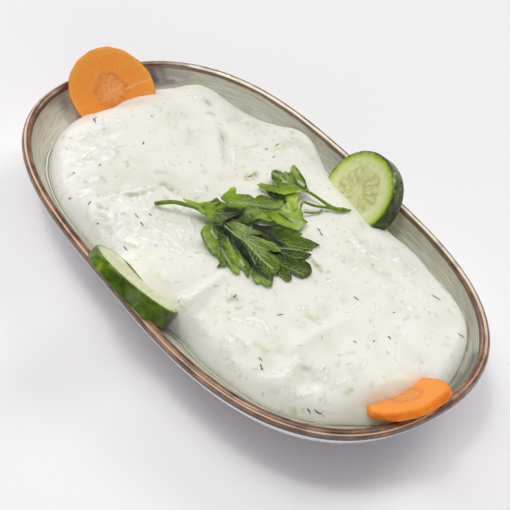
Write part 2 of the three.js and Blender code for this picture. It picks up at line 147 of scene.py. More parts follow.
# Low crests that catch the light, with painted glints along them, as lines of pixels: left, front, right.
CREST_HEIGHT = 0.22
CREST_WIDTH = 0.9
CREST_SHINE = 2.6
CRESTS = [
    [(105, 119.2), (113, 120.3), (121.7, 120)], [(90, 131.7), (96, 129), (101.7, 125)],
    [(101.7, 125), (106, 128), (108.3, 132)], [(94, 134.5), (101, 135)], [(65, 145), (70, 147.5), (75, 148.3)],
    [(71.7, 141.7), (79, 138.5), (85.8, 136.7)],
    [(103.8, 155.5), (104.5, 151.5), (108.3, 149.8), (112.3, 152), (112.6, 156), (108.5, 158.4), (104.8, 157)],
    [(85.8, 155), (91, 151.5), (96.7, 146.7)], [(83.3, 157), (89, 157.8), (95, 156.7)],
    [(73.3, 163.3), (78, 163.2), (83.3, 165)], [(88.3, 179.2), (93, 177), (98.3, 176.7)], [(89.5, 181), (96, 180)],
    [(78.3, 191.7), (86, 190.2), (95, 191.7)], [(80, 198.3), (84, 195), (90, 193.3)], [(113.3, 199.2), (121.7, 200)],
    [(89.2, 208.3), (88.6, 214), (91, 220), (100, 221.7), (108.3, 216.7)],
    [(100, 205), (109, 208), (116.7, 213.3), (120, 220)], [(105, 225), (113, 226), (121.7, 223.3)],
    [(93.3, 228.3), (98.3, 236.7)], [(111.7, 230), (117, 236), (123.3, 240), (131, 243), (138.3, 245)],
    [(126.7, 218.3), (133.3, 225)], [(152.5, 188), (149, 194), (146.7, 201)],
    [(188.3, 220), (192, 226), (193.3, 235)], [(176.7, 228.3), (181.7, 238.3)],
    [(150, 225), (158, 231), (166.7, 235), (175, 243), (183.3, 248.3)], [(136.7, 235), (146, 240), (156.7, 241.7)],
    [(155.5, 147.5), (158, 149)], [(166, 161), (167.4, 162.4)], [(195, 96.7), (200, 98.3)], [(196, 190), (204, 193)],
    [(232, 148), (233.5, 156), (233, 164)], [(147, 117), (152, 115)], [(163, 238), (170, 246)],
    [(96, 212), (103, 215)], [(128, 228), (139, 229)], [(160, 222), (170, 224)], [(171, 249), (182, 253)],
    [(146, 214), (151, 205)], [(184, 232), (178, 226)], [(188.3, 318.7), (193, 317), (198.3, 317), (203, 320)],
    [(195, 322), (201, 326), (207, 329)], [(196, 329), (203, 333), (211.7, 335.3)],
    [(233.3, 318.7), (245, 322), (253.3, 323.7)],
    [(246.7, 318.7), (255, 319), (262, 321.5), (266.5, 327), (268.3, 333.7)], [(225, 337), (228.3, 340.3)],
    [(221.7, 348.7), (226, 349), (231.7, 352)], [(243.3, 340.3), (246.7, 345.3)], [(231.7, 357), (240, 363.7)],
    [(265, 377), (271, 376.5), (278.3, 375.3), (286, 372), (293.3, 367), (298, 363), (301.7, 358.7)],
    [(273.3, 370.8), (280, 371.5), (286.7, 370.3)], [(286.7, 400.3), (293, 397.5), (300, 395.3), (311.7, 392)],
    [(286.7, 388.7), (294.2, 390.3)], [(271.7, 390.3), (276.7, 391.2)], [(298.3, 308.7), (306.7, 307.8)],
    [(173.3, 300.3), (180, 297), (188.3, 295.3), (196, 293), (204, 290)], [(315, 375.3), (320, 377)],
    [(317, 372), (326, 365)], [(325, 381), (327, 373)], [(337, 384), (346, 380)], [(352, 308), (360, 302)],
    [(370, 338), (376, 334)], [(222, 342), (229, 344)], [(228, 367), (236, 369)], [(282, 405), (287, 401)],
    [(183, 304), (192, 302)], [(350, 239), (358, 247), (369, 254), (380, 261)], [(392, 260), (399, 259)],
    [(409, 274), (416, 268)], [(382, 288), (388, 285)], [(390, 293), (402, 289)], [(373, 311), (379, 307)],
    [(408, 306), (412, 310)], [(327, 282), (333, 280)], [(332, 254), (338, 255)], [(352, 270), (358, 268)],
    [(369, 343), (375, 338)], [(362, 368), (366, 361)],
]
# Olive tint where herbs or lumps lie just below, and painted shade beside and below folds and in valleys,
# with painted shadows of a parsley stem and leaf tip: (pixel line, half width, strength).
OLIVE_AND_SHADE_STROKES = [
    ([(312, 262), (318, 267), (320, 272)], 2.8, 0.7), ([(162, 184), (168, 187), (177, 192)], 3.4, 0.55),
    ([(125, 194.5), (137, 195), (150, 190.5)], 2.2, 0.35), ([(164, 197), (168, 198)], 2, 0.3),
    ([(64, 138.5), (71, 138)], 2.4, 0.5), ([(67, 158), (72, 159)], 3, 0.22), ([(205, 101), (211, 103)], 3, 0.42),
    ([(233, 296), (236, 299)], 3, 0.55), ([(226, 299), (233, 301)], 3, 0.3), ([(308, 317), (318, 321)], 4, 0.5),
    ([(237, 373), (238.5, 374.5)], 3, 0.55), ([(304, 368), (311, 369)], 3.2, 0.35),
    ([(347, 390), (350.5, 391)], 3.4, 0.65), ([(278, 340), (284, 338)], 4, 0.2), ([(342, 300), (344, 301)], 4, 0.22),
    ([(382, 271), (388, 274)], 3.4, 0.45), ([(406, 265), (411, 267)], 3.4, 0.22),
    ([(246, 177), (253, 177), (257, 172)], 3.2, 0.6), ([(290, 411), (294, 412)], 3.4, 0.4),
    ([(277, 148), (288, 145)], 4, 0.35), ([(98, 206), (101, 208)], 2.6, 0.35),
    ([(164, 204), (172, 206.5), (180, 211)], 1.3, 0.3), ([(254, 345), (266, 351), (280, 350)], 6, 0.24),
    ([(330, 300), (322, 316), (300, 326)], 6, 0.16), ([(222, 131), (224, 144), (222, 156)], 4, 0.2),
    ([(365, 262), (380, 270), (396, 270)], 5, 0.14), ([(148, 260), (160, 275), (172, 285)], 6, 0.14),
    ([(292, 133), (300, 145)], 3.4, 0.25), ([(203, 305), (215, 312), (228, 312)], 5, 0.14),
    ([(284, 382), (300, 380)], 4, 0.14), ([(352, 232), (366, 242), (384, 252)], 3.4, 0.16),
    ([(236, 120), (250, 124), (262, 133)], 5, 0.16), ([(215, 178), (232, 176)], 5, 0.14),
    ([(310, 240), (322, 252)], 6, 0.14),
]
# Wet, lumpy stretches: (pixel, radius, strength).
WET_PATCHES = [
    ((95, 150), 20, 0.8), ((104, 215), 16, 1), ((145, 225), 18, 1), ((182, 232), 12, 0.8), ((198, 322), 10, 0.6),
    ((228, 345), 12, 0.45), ((290, 385), 16, 0.5), ((250, 320), 10, 0.2), ((370, 330), 16, 0.3),
    ((400, 275), 14, 0.4), ((282, 145), 10, 0.7), ((150, 200), 8, 0.8), ((330, 375), 10, 0.4),
]

# ---- Numbers, outlines and heights ----

BISECTIONS = 36
NOISE_GAIN = 1.6


def smooth_step(low, high, value):
    share = np.clip((np.asarray(value, float) - low) / (high - low), 0, 1)
    return share * share * (3 - 2 * share)


def bell(distance, width):
    return np.exp(-((distance / width) ** 2))


def outline_point(inset, turn):
    """Points on the rim's outline drawn in by inset."""
    inset, turn = np.broadcast_arrays(np.asarray(inset, float), np.asarray(turn, float))
    across = (DISH_HALF_WIDTH - inset) * np.sin(turn)
    along = (DISH_HALF_LENGTH - inset) * np.cos(turn)
    heading = np.arctan2(across, along)
    slope_x = np.abs(np.cos(heading)) / (DISH_HALF_LENGTH - inset)
    slope_y = np.abs(np.sin(heading)) / (DISH_HALF_WIDTH - inset)
    low, high = np.zeros(turn.shape), np.full(turn.shape, DISH_HALF_LENGTH * 1.2)
    for _ in range(BISECTIONS):
        reach = (low + high) / 2
        inside = (reach * slope_x) ** END_POWER + (reach * slope_y) ** SIDE_POWER < 1
        low, high = np.where(inside, reach, low), np.where(inside, high, reach)
    return low * np.cos(heading), low * np.sin(heading)


def place_in_dish(x, y):
    """How far inside the rim's outline points lie, and their place round the dish."""
    x, y = np.asarray(x, float), np.asarray(y, float)
    low, high = np.full(x.shape, -30.0), np.full(x.shape, DISH_HALF_WIDTH - 0.01)
    for _ in range(BISECTIONS):
        inset = (low + high) / 2
        along = np.abs(x / (DISH_HALF_LENGTH - inset))
        across = np.abs(y / (DISH_HALF_WIDTH - inset))
        inside = along ** END_POWER + across ** SIDE_POWER < 1
        low, high = np.where(inside, inset, low), np.where(inside, high, inset)
    return low, np.arctan2(y / (DISH_HALF_WIDTH - low), x / (DISH_HALF_LENGTH - low))


def wall_height(inset):
    section = np.array([LIP[-1]] + INSIDE, float)
    return np.interp(inset, section[:, 0], section[:, 1])


def edge_inset(turn):
    inset = EDGE_INSET + sum(depth * np.sin(waves * turn + phase) for depth, waves, phase in EDGE_RIPPLES)
    for place, spread, depth in EDGE_SWELLS:
        inset = inset + depth * bell((np.degrees(turn) - place + 180) % 360 - 180, spread)
    return inset


def spoon_marks(x, y):
    height = np.zeros(np.shape(x))
    for mark_x, mark_y, heading, half_length, half_width, amount in SPOON_MARKS:
        cos, sin = math.cos(math.radians(heading)), math.sin(math.radians(heading))
        along = (x - mark_x) * cos + (y - mark_y) * sin
        across = (y - mark_y) * cos - (x - mark_x) * sin
        height = height + amount * bell(along, half_length) * bell(across, half_width)
    return height


def plain_yogurt(x, y):
    """The part's own yogurt surface."""
    inset, turn = place_in_dish(x, y)
    edge = edge_inset(turn)
    from_edge = np.maximum(inset - edge, 0)
    foot = wall_height(edge)
    roll = EDGE_ROLL * np.sqrt(1 - (1 - np.clip(from_edge / EDGE_ROLL_REACH, 0, 1)) ** 2)
    rise = 1 - (1 - np.clip(from_edge / MOUND_REACH, 0, 1)) ** 2
    marks = spoon_marks(x, y) * np.clip(from_edge / MARKS_FADE, 0, 1)
    return foot + roll + (MOUND_HEIGHT - foot - EDGE_ROLL) * rise + marks


def lattice(ix, iy, seed):
    """Random numbers from 0 to 1, one for each lattice point."""
    mixed = (ix.astype(np.int64) * 374761393 + iy.astype(np.int64) * 668265263 + seed * 974634777) & 0xFFFFFFFF
    mixed = ((mixed ^ (mixed >> 13)) * 1274126177) & 0xFFFFFFFF
    return ((mixed ^ (mixed >> 16)) & 0xFFFF) / 65535.0


def soft_noise(x, y, size, seed):
    """Smooth noise from -1 to 1 whose bumps are about this size."""
    x, y = np.asarray(x, float) / size, np.asarray(y, float) / size
    ix, iy = np.floor(x), np.floor(y)
    total = np.zeros(x.shape)
    for dx, dy in ((0, 0), (0, 1), (1, 0), (1, 1)):
        off_x, off_y = x - ix - dx, y - iy - dy
        angle = 2 * np.pi * lattice(ix + dx, iy + dy, seed)
        fade = 1
        for near in (1 - np.abs(off_x), 1 - np.abs(off_y)):
            fade = fade * near ** 3 * (near * (near * 6 - 15) + 10)
        total += (np.cos(angle) * off_x + np.sin(angle) * off_y) * fade
    return NOISE_GAIN * total


def distance_to_line(x, y, points):
    """Distance to a line through the points, and the side: left is positive."""
    best = np.full(np.shape(x), 1e9)
    side = np.ones(np.shape(x))
    for (ax, ay), (bx, by) in zip(points[:-1], points[1:]):
        dx, dy = bx - ax, by - ay
        share = np.clip(((x - ax) * dx + (y - ay) * dy) / (dx * dx + dy * dy + 1e-9), 0, 1)
        away = np.hypot(x - ax - share * dx, y - ay - share * dy)
        nearer = away < best
        best = np.where(nearer, away, best)
        side = np.where(nearer, np.sign(dx * (y - ay) - dy * (x - ax)), side)
    return best, side


def away_from(points, lines):
    """Distance in the plan from each point to the nearest of the lines."""
    return np.min([distance_to_line(points[:, 0], points[:, 1], line)[0] for line in lines], axis=0)


# ---- From the photograph's pixels to the yogurt ----

AZIMUTH, ELEVATION, ROLL = (math.radians(angle) for angle in (VIEW_AZIMUTH, VIEW_ELEVATION, VIEW_ROLL))
BACK = np.array([math.sin(AZIMUTH) * math.cos(ELEVATION), -math.cos(AZIMUTH) * math.cos(ELEVATION),
                 math.sin(ELEVATION)])
LEVEL_RIGHT = np.array([math.cos(AZIMUTH), math.sin(AZIMUTH), 0.0])
LEVEL_UP = np.cross(BACK, LEVEL_RIGHT)
RIGHT = LEVEL_RIGHT * math.cos(ROLL) + LEVEL_UP * math.sin(ROLL)
UP = -LEVEL_RIGHT * math.sin(ROLL) + LEVEL_UP * math.cos(ROLL)
EYE = VIEW_TARGET + VIEW_DISTANCE * BACK
RAY_ROUNDS = 24
RAY_CALM = 0.35
MAP_MARGIN = 4
PLAIN_MAP_STEP = 1.0
FINE_MAP_STEP = 0.4


class HeightMap:
    """Heights on a fine grid, looked up in between: far quicker than the surface itself."""

    def __init__(self, height_at, step):
        self.step = step
        self.low_x, self.low_y = -DISH_HALF_LENGTH - MAP_MARGIN, -DISH_HALF_WIDTH - MAP_MARGIN
        xs, ys = (np.arange(low, -low, step) for low in (self.low_x, self.low_y))
        self.values = height_at(*np.meshgrid(xs, ys, indexing="ij"))

    def __call__(self, x, y):
        across = np.clip((np.asarray(x, float) - self.low_x) / self.step, 0, self.values.shape[0] - 1.001)
        along = np.clip((np.asarray(y, float) - self.low_y) / self.step, 0, self.values.shape[1] - 1.001)
        i, j = across.astype(int), along.astype(int)
        u, v = across - i, along - j
        values = self.values
        return ((1 - u) * ((1 - v) * values[i, j] + v * values[i, j + 1])
                + u * ((1 - v) * values[i + 1, j] + v * values[i + 1, j + 1]))


plain_map = HeightMap(plain_yogurt, PLAIN_MAP_STEP)


def pixel_to_plan(pixels, height_at, lift=0):
    """x, y and height where the rays through these pixels meet height_at plus lift."""
    pixels = np.asarray(pixels, float).reshape(-1, 2) - IMAGE_SIDE / 2
    ray = (pixels[:, :1] * RIGHT - pixels[:, 1:] * UP) / FOCAL_PIXELS - BACK
    height = np.full(len(pixels), MOUND_HEIGHT)
    for _ in range(RAY_ROUNDS):
        reach = (height - EYE[2]) / ray[:, 2]
        x, y = EYE[0] + reach * ray[:, 0], EYE[1] + reach * ray[:, 1]
        height = RAY_CALM * height + (1 - RAY_CALM) * (height_at(x, y) + lift)
    return x, y, height


def painted(points, strokes):
    """How strongly strokes, each (pixel line, half width in pixels, strength), mark these points."""
    offsets = np.asarray(points, float) - EYE
    scale = FOCAL_PIXELS / -(offsets @ BACK)
    px, py = IMAGE_SIDE / 2 + scale * (offsets @ RIGHT), IMAGE_SIDE / 2 - scale * (offsets @ UP)
    amount = np.zeros(len(px))
    for line, half_width, strength in strokes:
        amount = np.maximum(amount, strength * bell(distance_to_line(px, py, line)[0], half_width))
    return amount


def plan_line(pixels, height_at=plain_map, lift=0):
    x, y, _ = pixel_to_plan(pixels, height_at, lift)
    return list(zip(x, y))


RIDGES_IN_PLAN = [(plan_line(line), *sizes) for line, *sizes in RIDGES]
RIDGES_IN_PLAN += [(plan_line(line), CREST_HEIGHT, CREST_WIDTH) for line in CRESTS]
FOLDS_IN_PLAN = [(plan_line(line), *sizes) for line, *sizes in FOLD_LINES]
WET_IN_PLAN = [(*plan_line([pixel])[0], *sizes) for pixel, *sizes in WET_PATCHES]
LEVELS_IN_PLAN = [(*plan_line([pixel])[0], *sizes) for pixel, *sizes in LEVELS]


def wetness(x, y):
    return np.max([strength * bell(np.hypot(x - wet_x, y - wet_y), radius)
                   for wet_x, wet_y, radius, strength in WET_IN_PLAN], axis=0)


def yogurt_height(x, y):
    """The part's yogurt surface with its finer folds, crests and lumps."""
    x, y = np.asarray(x, float), np.asarray(y, float)
    inset, turn = place_in_dish(x, y)
    relief = sum(height * soft_noise(x, y, size, seed) for height, size, seed in RELIEF_WAVES)
    for level_x, level_y, radius, height in LEVELS_IN_PLAN:
        relief = relief + height * bell(np.hypot(x - level_x, y - level_y), radius)
    for points, height, softness, reach in FOLDS_IN_PLAN:
        away, side = distance_to_line(x, y, points)
        relief = relief + 0.5 * height * np.exp(-away / reach) * np.tanh(side * away / softness)
    for points, height, half_width in RIDGES_IN_PLAN:
        relief = relief + height * bell(distance_to_line(x, y, points)[0], half_width)
    (slanted, slanted_size, slanted_seed), (rounded, round_size, round_seed) = SLANTED_LUMPS, ROUND_LUMPS
    lumps = (slanted * soft_noise(x + y, LUMP_SLANT * (y - x), slanted_size, slanted_seed)
             + rounded * soft_noise(x, y, round_size, round_seed))
    relief = relief + (DRY_LUMPS + (1 - DRY_LUMPS) * wetness(x, y)) * lumps
    return plain_yogurt(x, y) + relief * smooth_step(*RELIEF_GROWS, inset - edge_inset(turn))


fine_map = HeightMap(yogurt_height, FINE_MAP_STEP)

# ---- Meshes ----


def add_object(name, data):
    thing = bpy.data.objects.new(name, data)
    bpy.context.scene.collection.objects.link(thing)
    return thing


def mesh_piece(name, points, faces, material, replaced, attributes=None):
    """A piece in metres that rides on the part's one body."""
    mesh = bpy.data.meshes.new(name)
    mesh.from_pydata((np.asarray(points, float) * MM).tolist(), [], faces)
    mesh.validate()
    for label, values in (attributes or {}).items():
        values = np.asarray(values, np.float32)
        kind, field = ("FLOAT_VECTOR", "vector") if values.ndim == 2 else ("FLOAT", "value")
        mesh.attributes.new(label, kind, "POINT").data.foreach_set(field, values.ravel())
    mesh.shade_smooth()
    mesh.materials.append(material)
    piece = add_object(name, mesh)
    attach(piece, "root")
    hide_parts(replaced)


def ring_faces(first, second, count):
    """Quads between two rings that start at these indices."""
    return [(first + i, first + (i + 1) % count, second + (i + 1) % count, second + i) for i in range(count)]


def stack_faces(rings, count):
    """Faces of a stack of rings, each with this many points, between two end points."""
    last, end = 1 + (rings - 1) * count, 1 + rings * count
    faces = [(0, 1 + (i + 1) % count, 1 + i) for i in range(count)]
    for start in range(1, last, count):
        faces += ring_faces(start, start + count, count)
    return faces + [(last + i, last + (i + 1) % count, end) for i in range(count)]


def with_ends(first, rings, last):
    """Values for all points of a stack: one end point, the rings, the other end point."""
    first = np.asarray(first, float)
    return np.concatenate([[first], np.reshape(rings, (-1,) + first.shape), [last]])


def smooth_line(points, steps):
    """A Catmull-Rom curve through the points, with this many steps for each span."""
    points = np.asarray(points, float)
    padded = np.vstack([2 * points[0] - points[1], points, 2 * points[-1] - points[-2]])
    out = []
    for i in range(1, len(padded) - 2):
        a, b, c, d = padded[i - 1:i + 3]
        for t in np.arange(steps) / steps:
            bend = (2 * a - 5 * b + 4 * c - d) * t ** 2 + (3 * b - a - 3 * c + d) * t ** 3
            out.append(0.5 * (2 * b + (c - a) * t + bend))
    return np.array(out + [points[-1]])


def run_lengths(line):
    """How far along the line each of its points lies."""
    return np.concatenate([[0], np.cumsum(np.hypot(*np.diff(line, axis=0).T))])


def rod(points, radii, sides):
    """Points and faces of a closed round rod along the points."""
    ahead = np.gradient(points, axis=0)
    ahead /= np.linalg.norm(ahead, axis=1)[:, None]
    side = np.cross(ahead, [0, 0, 1])
    side /= np.maximum(np.linalg.norm(side, axis=1)[:, None], 1e-6)
    turn = 2 * np.pi * np.arange(sides)[:, None] / sides
    spokes = np.cos(turn) * side[:, None] + np.sin(turn) * np.cross(side, ahead)[:, None]
    rings = points[:, None] + radii[:, None, None] * spokes
    return with_ends(points[0], rings, points[-1]), stack_faces(len(points), sides)


def join_parts(parts):
    """Joins (points, faces, attributes) into one."""
    points, faces, attributes, start = [], [], {}, 0
    for part_points, part_faces, part_attributes in parts:
        points.append(part_points)
        faces += [tuple(index + start for index in face) for face in part_faces]
        start += len(part_points)
        for label, values in part_attributes.items():
            attributes.setdefault(label, []).append(values)
    return np.vstack(points), faces, {label: np.concatenate(values) for label, values in attributes.items()}


# ---- Materials ----


def srgb(red, green, blue):
    """A colour as seen on a screen, from 0 to 255, in linear light."""
    values = [value / 255 for value in (red, green, blue)]
    return tuple(v / 12.92 if v <= 0.04045 else ((v + 0.055) / 1.055) ** 2.4 for v in values) + (1.0,)


class Look:
    """A procedural material built from nodes."""

    def __init__(self, name, **constants):
        self.material = bpy.data.materials.new(name)
        self.material.use_nodes = True
        self.nodes = self.material.node_tree.nodes
        self.links = self.material.node_tree.links
        self.shader = self.nodes["Principled BSDF"]
        for socket, value in constants.items():
            self.shader.inputs[socket.replace("_", " ")].default_value = value

    def node(self, kind, inputs=None, **settings):
        made = self.nodes.new(kind)
        for key, value in settings.items():
            setattr(made, key, value)
        for key, value in (inputs or {}).items():
            self.feed(made.inputs[key], value)
        return made

    def feed(self, socket, value):
        if isinstance(value, bpy.types.NodeSocket):
            self.links.new(value, socket)
        else:
            socket.default_value = value

    def attribute(self, label, output="Fac"):
        return self.node("ShaderNodeAttribute", attribute_name=label).outputs[output]

    def place(self):
        return self.node("ShaderNodeTexCoord").outputs["Object"]

    def noise(self, per_metre, detail=3, roughness=0.5, vector=None, distortion=0.0):
        inputs = {"Scale": per_metre, "Detail": detail, "Roughness": roughness, "Distortion": distortion,
                  "Vector": vector or self.place()}
        return self.node("ShaderNodeTexNoise", inputs).outputs["Fac"]

    def math(self, operation, first, second):
        return self.node("ShaderNodeMath", {0: first, 1: second}, operation=operation).outputs[0]

    def times(self, first, second):
        return self.math("MULTIPLY", first, second)

    def plus(self, first, second):
        return self.math("ADD", first, second)

    def swing(self, value, noise, amount):
        """The value, moved up and down by the noise."""
        return self.plus(value, self.times(self.math("SUBTRACT", noise, 0.5), amount))

    def remap(self, value, low, high, to_low=0.0, to_high=1.0):
        inputs = {"Value": value, "From Min": low, "From Max": high, "To Min": to_low, "To Max": to_high}
        return self.node("ShaderNodeMapRange", inputs, interpolation_type="SMOOTHSTEP").outputs[0]

    def band(self, value, start, full, fade, end):
        """One between full and fade, and nothing beyond start and end."""
        return self.times(self.remap(value, start, full), self.remap(value, fade, end, 1.0, 0.0))

    def ramp(self, value, *stops):
        """Colours at places, each stop as (place, red, green, blue)."""
        made = self.node("ShaderNodeValToRGB", {"Fac": value})
        elements = made.color_ramp.elements
        while len(elements) < len(stops):
            elements.new(0.5)
        for element, (place, *colour) in zip(elements, stops):
            element.position = place
            element.color = srgb(*colour)
        return made.outputs["Color"]

    def mix(self, share, first, second):
        return self.node("ShaderNodeMix", {0: share, 6: first, 7: second}, data_type="RGBA").outputs[2]

    def over(self, under, share, colour, amount=None):
        """Lays a colour over another, by this share times the amount."""
        return self.mix(self.times(share, amount) if amount else share, under, srgb(*colour))

    def finish(self, colour, roughness):
        self.feed(self.shader.inputs["Base Color"], colour)
        self.feed(self.shader.inputs["Roughness"], roughness)
        return self.material

    def bump(self, height, strength, millimetres, before=None):
        made = self.node("ShaderNodeBump", {"Height": height, "Strength": strength, "Distance": millimetres * MM})
        if before:
            self.feed(made.inputs["Normal"], before)
        self.feed(self.shader.inputs["Normal"], made.outputs["Normal"])
        return made.outputs["Normal"]


def glaze_look():
    look = Look("dish_glaze", Coat_Weight=0.5, Coat_Roughness=0.09)
    brush, lap, far = look.attribute("brush", "Vector"), look.attribute("lap"), look.attribute("far")
    strokes, clouds = look.noise(1.0, 5, 0.7, brush), look.noise(40)
    grains, wobble = look.noise(1000, 3, 0.7), look.noise(100, 6, 0.7)
    tone = look.plus(look.times(strokes, 0.78), look.times(clouds, 0.22))
    inside = look.ramp(tone, (0.36, 152, 151, 135), (0.46, 182, 181, 163), (0.54, 200, 199, 182), (0.66, 222, 221, 207))
    # Painted light: the inner glaze is lighter towards the left end of the dish.
    along = look.node("ShaderNodeSeparateXYZ", {"Vector": look.place()}).outputs["X"]
    inside = look.over(inside, look.remap(along, 0.0, -0.09), (228, 226, 220), 0.22)
    specks = look.times(look.remap(grains, 0.6, 0.68), look.remap(clouds, 0.42, 0.6))
    inside = look.over(inside, specks, (104, 98, 80), 0.5)
    inside = look.over(inside, look.attribute("shade"), (50, 56, 68))
    outside = look.ramp(clouds, (0.3, 236, 232, 236), (0.7, 248, 245, 248))
    mottle = look.plus(look.times(look.noise(1.0, 4, 0.6, brush), 0.5), look.times(look.noise(200, 4), 0.5))
    brown = look.ramp(mottle, (0.38, 74, 48, 34), (0.5, 118, 84, 62), (0.62, 166, 126, 96))
    # Painted light: on the far side the lip's dark lines are a lighter, lit copy and its painted highlight is brighter.
    dark = look.mix(far, srgb(64, 44, 32), srgb(118, 98, 78))
    painted_highlight = look.mix(far, srgb(236, 200, 172), srgb(255, 246, 226))
    # The painted highlight: a pale band along the lip, broken by the mottle and dimmed in places.
    band = look.band(look.swing(look.attribute("lip_highlight"), wobble, 0.5), -1.0, -0.4, 0.4, 1.0)
    band = look.times(band, look.remap(mottle, 0.36, 0.5, 0.5, 0.95))
    # The painted highlight is dimmed where these strokes lie.
    band = look.times(band, look.remap(look.attribute("dimmed_highlight"), 0.0, 1.0, 1.0, 0.0))
    edge, outer = look.swing(lap, wobble, 1.6), look.swing(lap, wobble, 0.6)
    lip = look.mix(look.band(edge, 1.9, 2.3, 2.7, 3.1), look.mix(band, brown, painted_highlight), dark)
    lip = look.mix(look.remap(outer, -2.3, -2.9), lip, dark)
    colour = look.mix(look.remap(edge, 2.8, 3.4), lip, inside)
    colour = look.mix(look.remap(outer, -3.6, -3.9), colour, outside)
    look.bump(strokes, 0.25, 0.2, look.bump(grains, 0.2, 0.1))
    return look.finish(colour, look.remap(strokes, 0.3, 0.7, 0.3, 0.46))


def yogurt_look():
    look = Look("haydari", Subsurface_Weight=0.5, Subsurface_Radius=(1.0, 1.0, 0.9), Subsurface_Scale=0.003,
                Coat_Roughness=0.07, IOR=1.4)
    shine, wet = look.attribute("shine"), look.attribute("wet")
    body = look.ramp(look.noise(60), (0.3, 242, 241, 229), (0.55, 246, 245, 235), (0.75, 249, 248, 241))
    # Painted shade in the hollows of the relief.
    body = look.over(body, look.attribute("hollow"), (218, 218, 200), 0.4)
    # Painted light along the near edge.
    body = look.over(body, look.attribute("near_edge_light"), (255, 254, 246))
    sunk = look.times(look.remap(look.noise(420, 2, 0.4), 0.62, 0.72), look.remap(look.noise(90, 1), 0.4, 0.58))
    body = look.over(body, sunk, (180, 190, 172), 0.5)
    body = look.over(body, look.attribute("smudge"), (176, 184, 172))
    # Olive tint of herbs and lumps below, and painted shade in folds and valleys with painted shadows of parsley.
    body = look.over(body, look.attribute("olive_and_shade"), (170, 168, 108))
    body = look.over(body, look.attribute("glow"), (252, 158, 60))
    # Painted highlights: white glints along the crests and sparkle in the wet stretches; a faint painted shade rings
    # each glint.
    body = look.over(body, look.remap(shine, 0.02, 0.5), (214, 216, 200), 0.28)
    breaks = look.plus(look.times(look.noise(420, 2), 0.5), look.times(look.noise(1000, 2), 0.5))
    glint = look.remap(look.swing(shine, breaks, 3.4), 0.7, 0.95)
    sparkle = look.times(look.remap(look.noise(330, distortion=1.2), 0.6, 0.65), look.remap(wet, 0.45, 0.8))
    body = look.over(body, look.math("MAXIMUM", glint, look.times(sparkle, 0.9)), (255, 255, 255))
    look.feed(look.shader.inputs["Coat Weight"], look.remap(wet, 0.3, 0.9, 0.08, 0.34))
    look.bump(look.noise(700), 0.12, 0.12)
    return look.finish(body, look.remap(wet, 0.0, 0.9, 0.45, 0.32))


def film_look():
    look = Look("whey", Coat_Weight=0.6, Coat_Roughness=0.05)
    share = look.attribute("share")
    # Across the film: the whey's own pale colour, a painted dark line of shade, a painted pale highlight on its
    # meniscus, and painted shade at its outer edge.
    colour = look.ramp(
        look.swing(share, look.noise(300), 0.16), (0.0, 232, 234, 224), (0.4, 214, 217, 203), (0.55, 120, 116, 98),
        (0.62, 150, 150, 132), (0.7, 236, 238, 232), (0.8, 230, 232, 224), (0.9, 140, 138, 118), (1.0, 176, 175, 158))
    return look.finish(colour, look.remap(share, 0.0, 1.0, 0.2, 0.32))


def carrot_look():
    look = Look("carrot", Subsurface_Weight=0.1, Subsurface_Radius=(1.0, 0.4, 0.1), Subsurface_Scale=0.0015,
                Specular_IOR_Level=0.25, Coat_Weight=0.06, Coat_Roughness=0.25)
    share = look.attribute("share")
    fibres = look.noise(1.0, 5, 0.65, look.attribute("fibre", "Vector"))
    clouds, grain = look.noise(200, 4, 0.6), look.noise(1300, 3, 0.7)
    edge = look.swing(share, clouds, 0.4)
    flesh = look.ramp(
        edge, (0.0, 250, 168, 92), (0.25, 250, 162, 84), (0.38, 238, 142, 62), (0.44, 255, 156, 64),
        (0.6, 255, 158, 60), (0.8, 255, 162, 60), (0.93, 255, 170, 64), (0.99, 255, 178, 76))
    core = look.times(look.remap(edge, 0.46, 0.34), look.remap(grain, 0.52, 0.42))
    flesh = look.over(flesh, core, (206, 122, 52), 0.45)
    streaks = look.times(look.remap(fibres, 0.5, 0.66), look.remap(edge, 0.6, 0.4, 0.1, 0.4))
    flesh = look.over(flesh, streaks, (255, 192, 112))
    flesh = look.over(flesh, look.remap(fibres, 0.47, 0.32), (232, 122, 36), 0.25)
    flesh = look.over(flesh, look.remap(grain, 0.55, 0.7), (255, 190, 100), 0.3)
    flesh = look.over(flesh, look.remap(grain, 0.44, 0.34), (222, 122, 48), 0.3)
    # Painted rim light: on the slice with tint, the back one, the face grows paler at its edge.
    rim = look.times(look.remap(share, 0.93, 0.99), look.attribute("tint"))
    flesh = look.over(flesh, rim, (254, 192, 90), 0.7)
    # Painted highlight along the back slice's crease, with pale marks near its core.
    flesh = look.over(flesh, look.attribute("light"), (255, 200, 132))
    skin = look.ramp(clouds, (0.35, 242, 116, 12), (0.65, 252, 146, 36))
    look.bump(fibres, 0.2, 0.2, look.bump(grain, 0.45, 0.2))
    return look.finish(look.mix(look.attribute("side"), flesh, skin), look.remap(fibres, 0.3, 0.7, 0.4, 0.6))


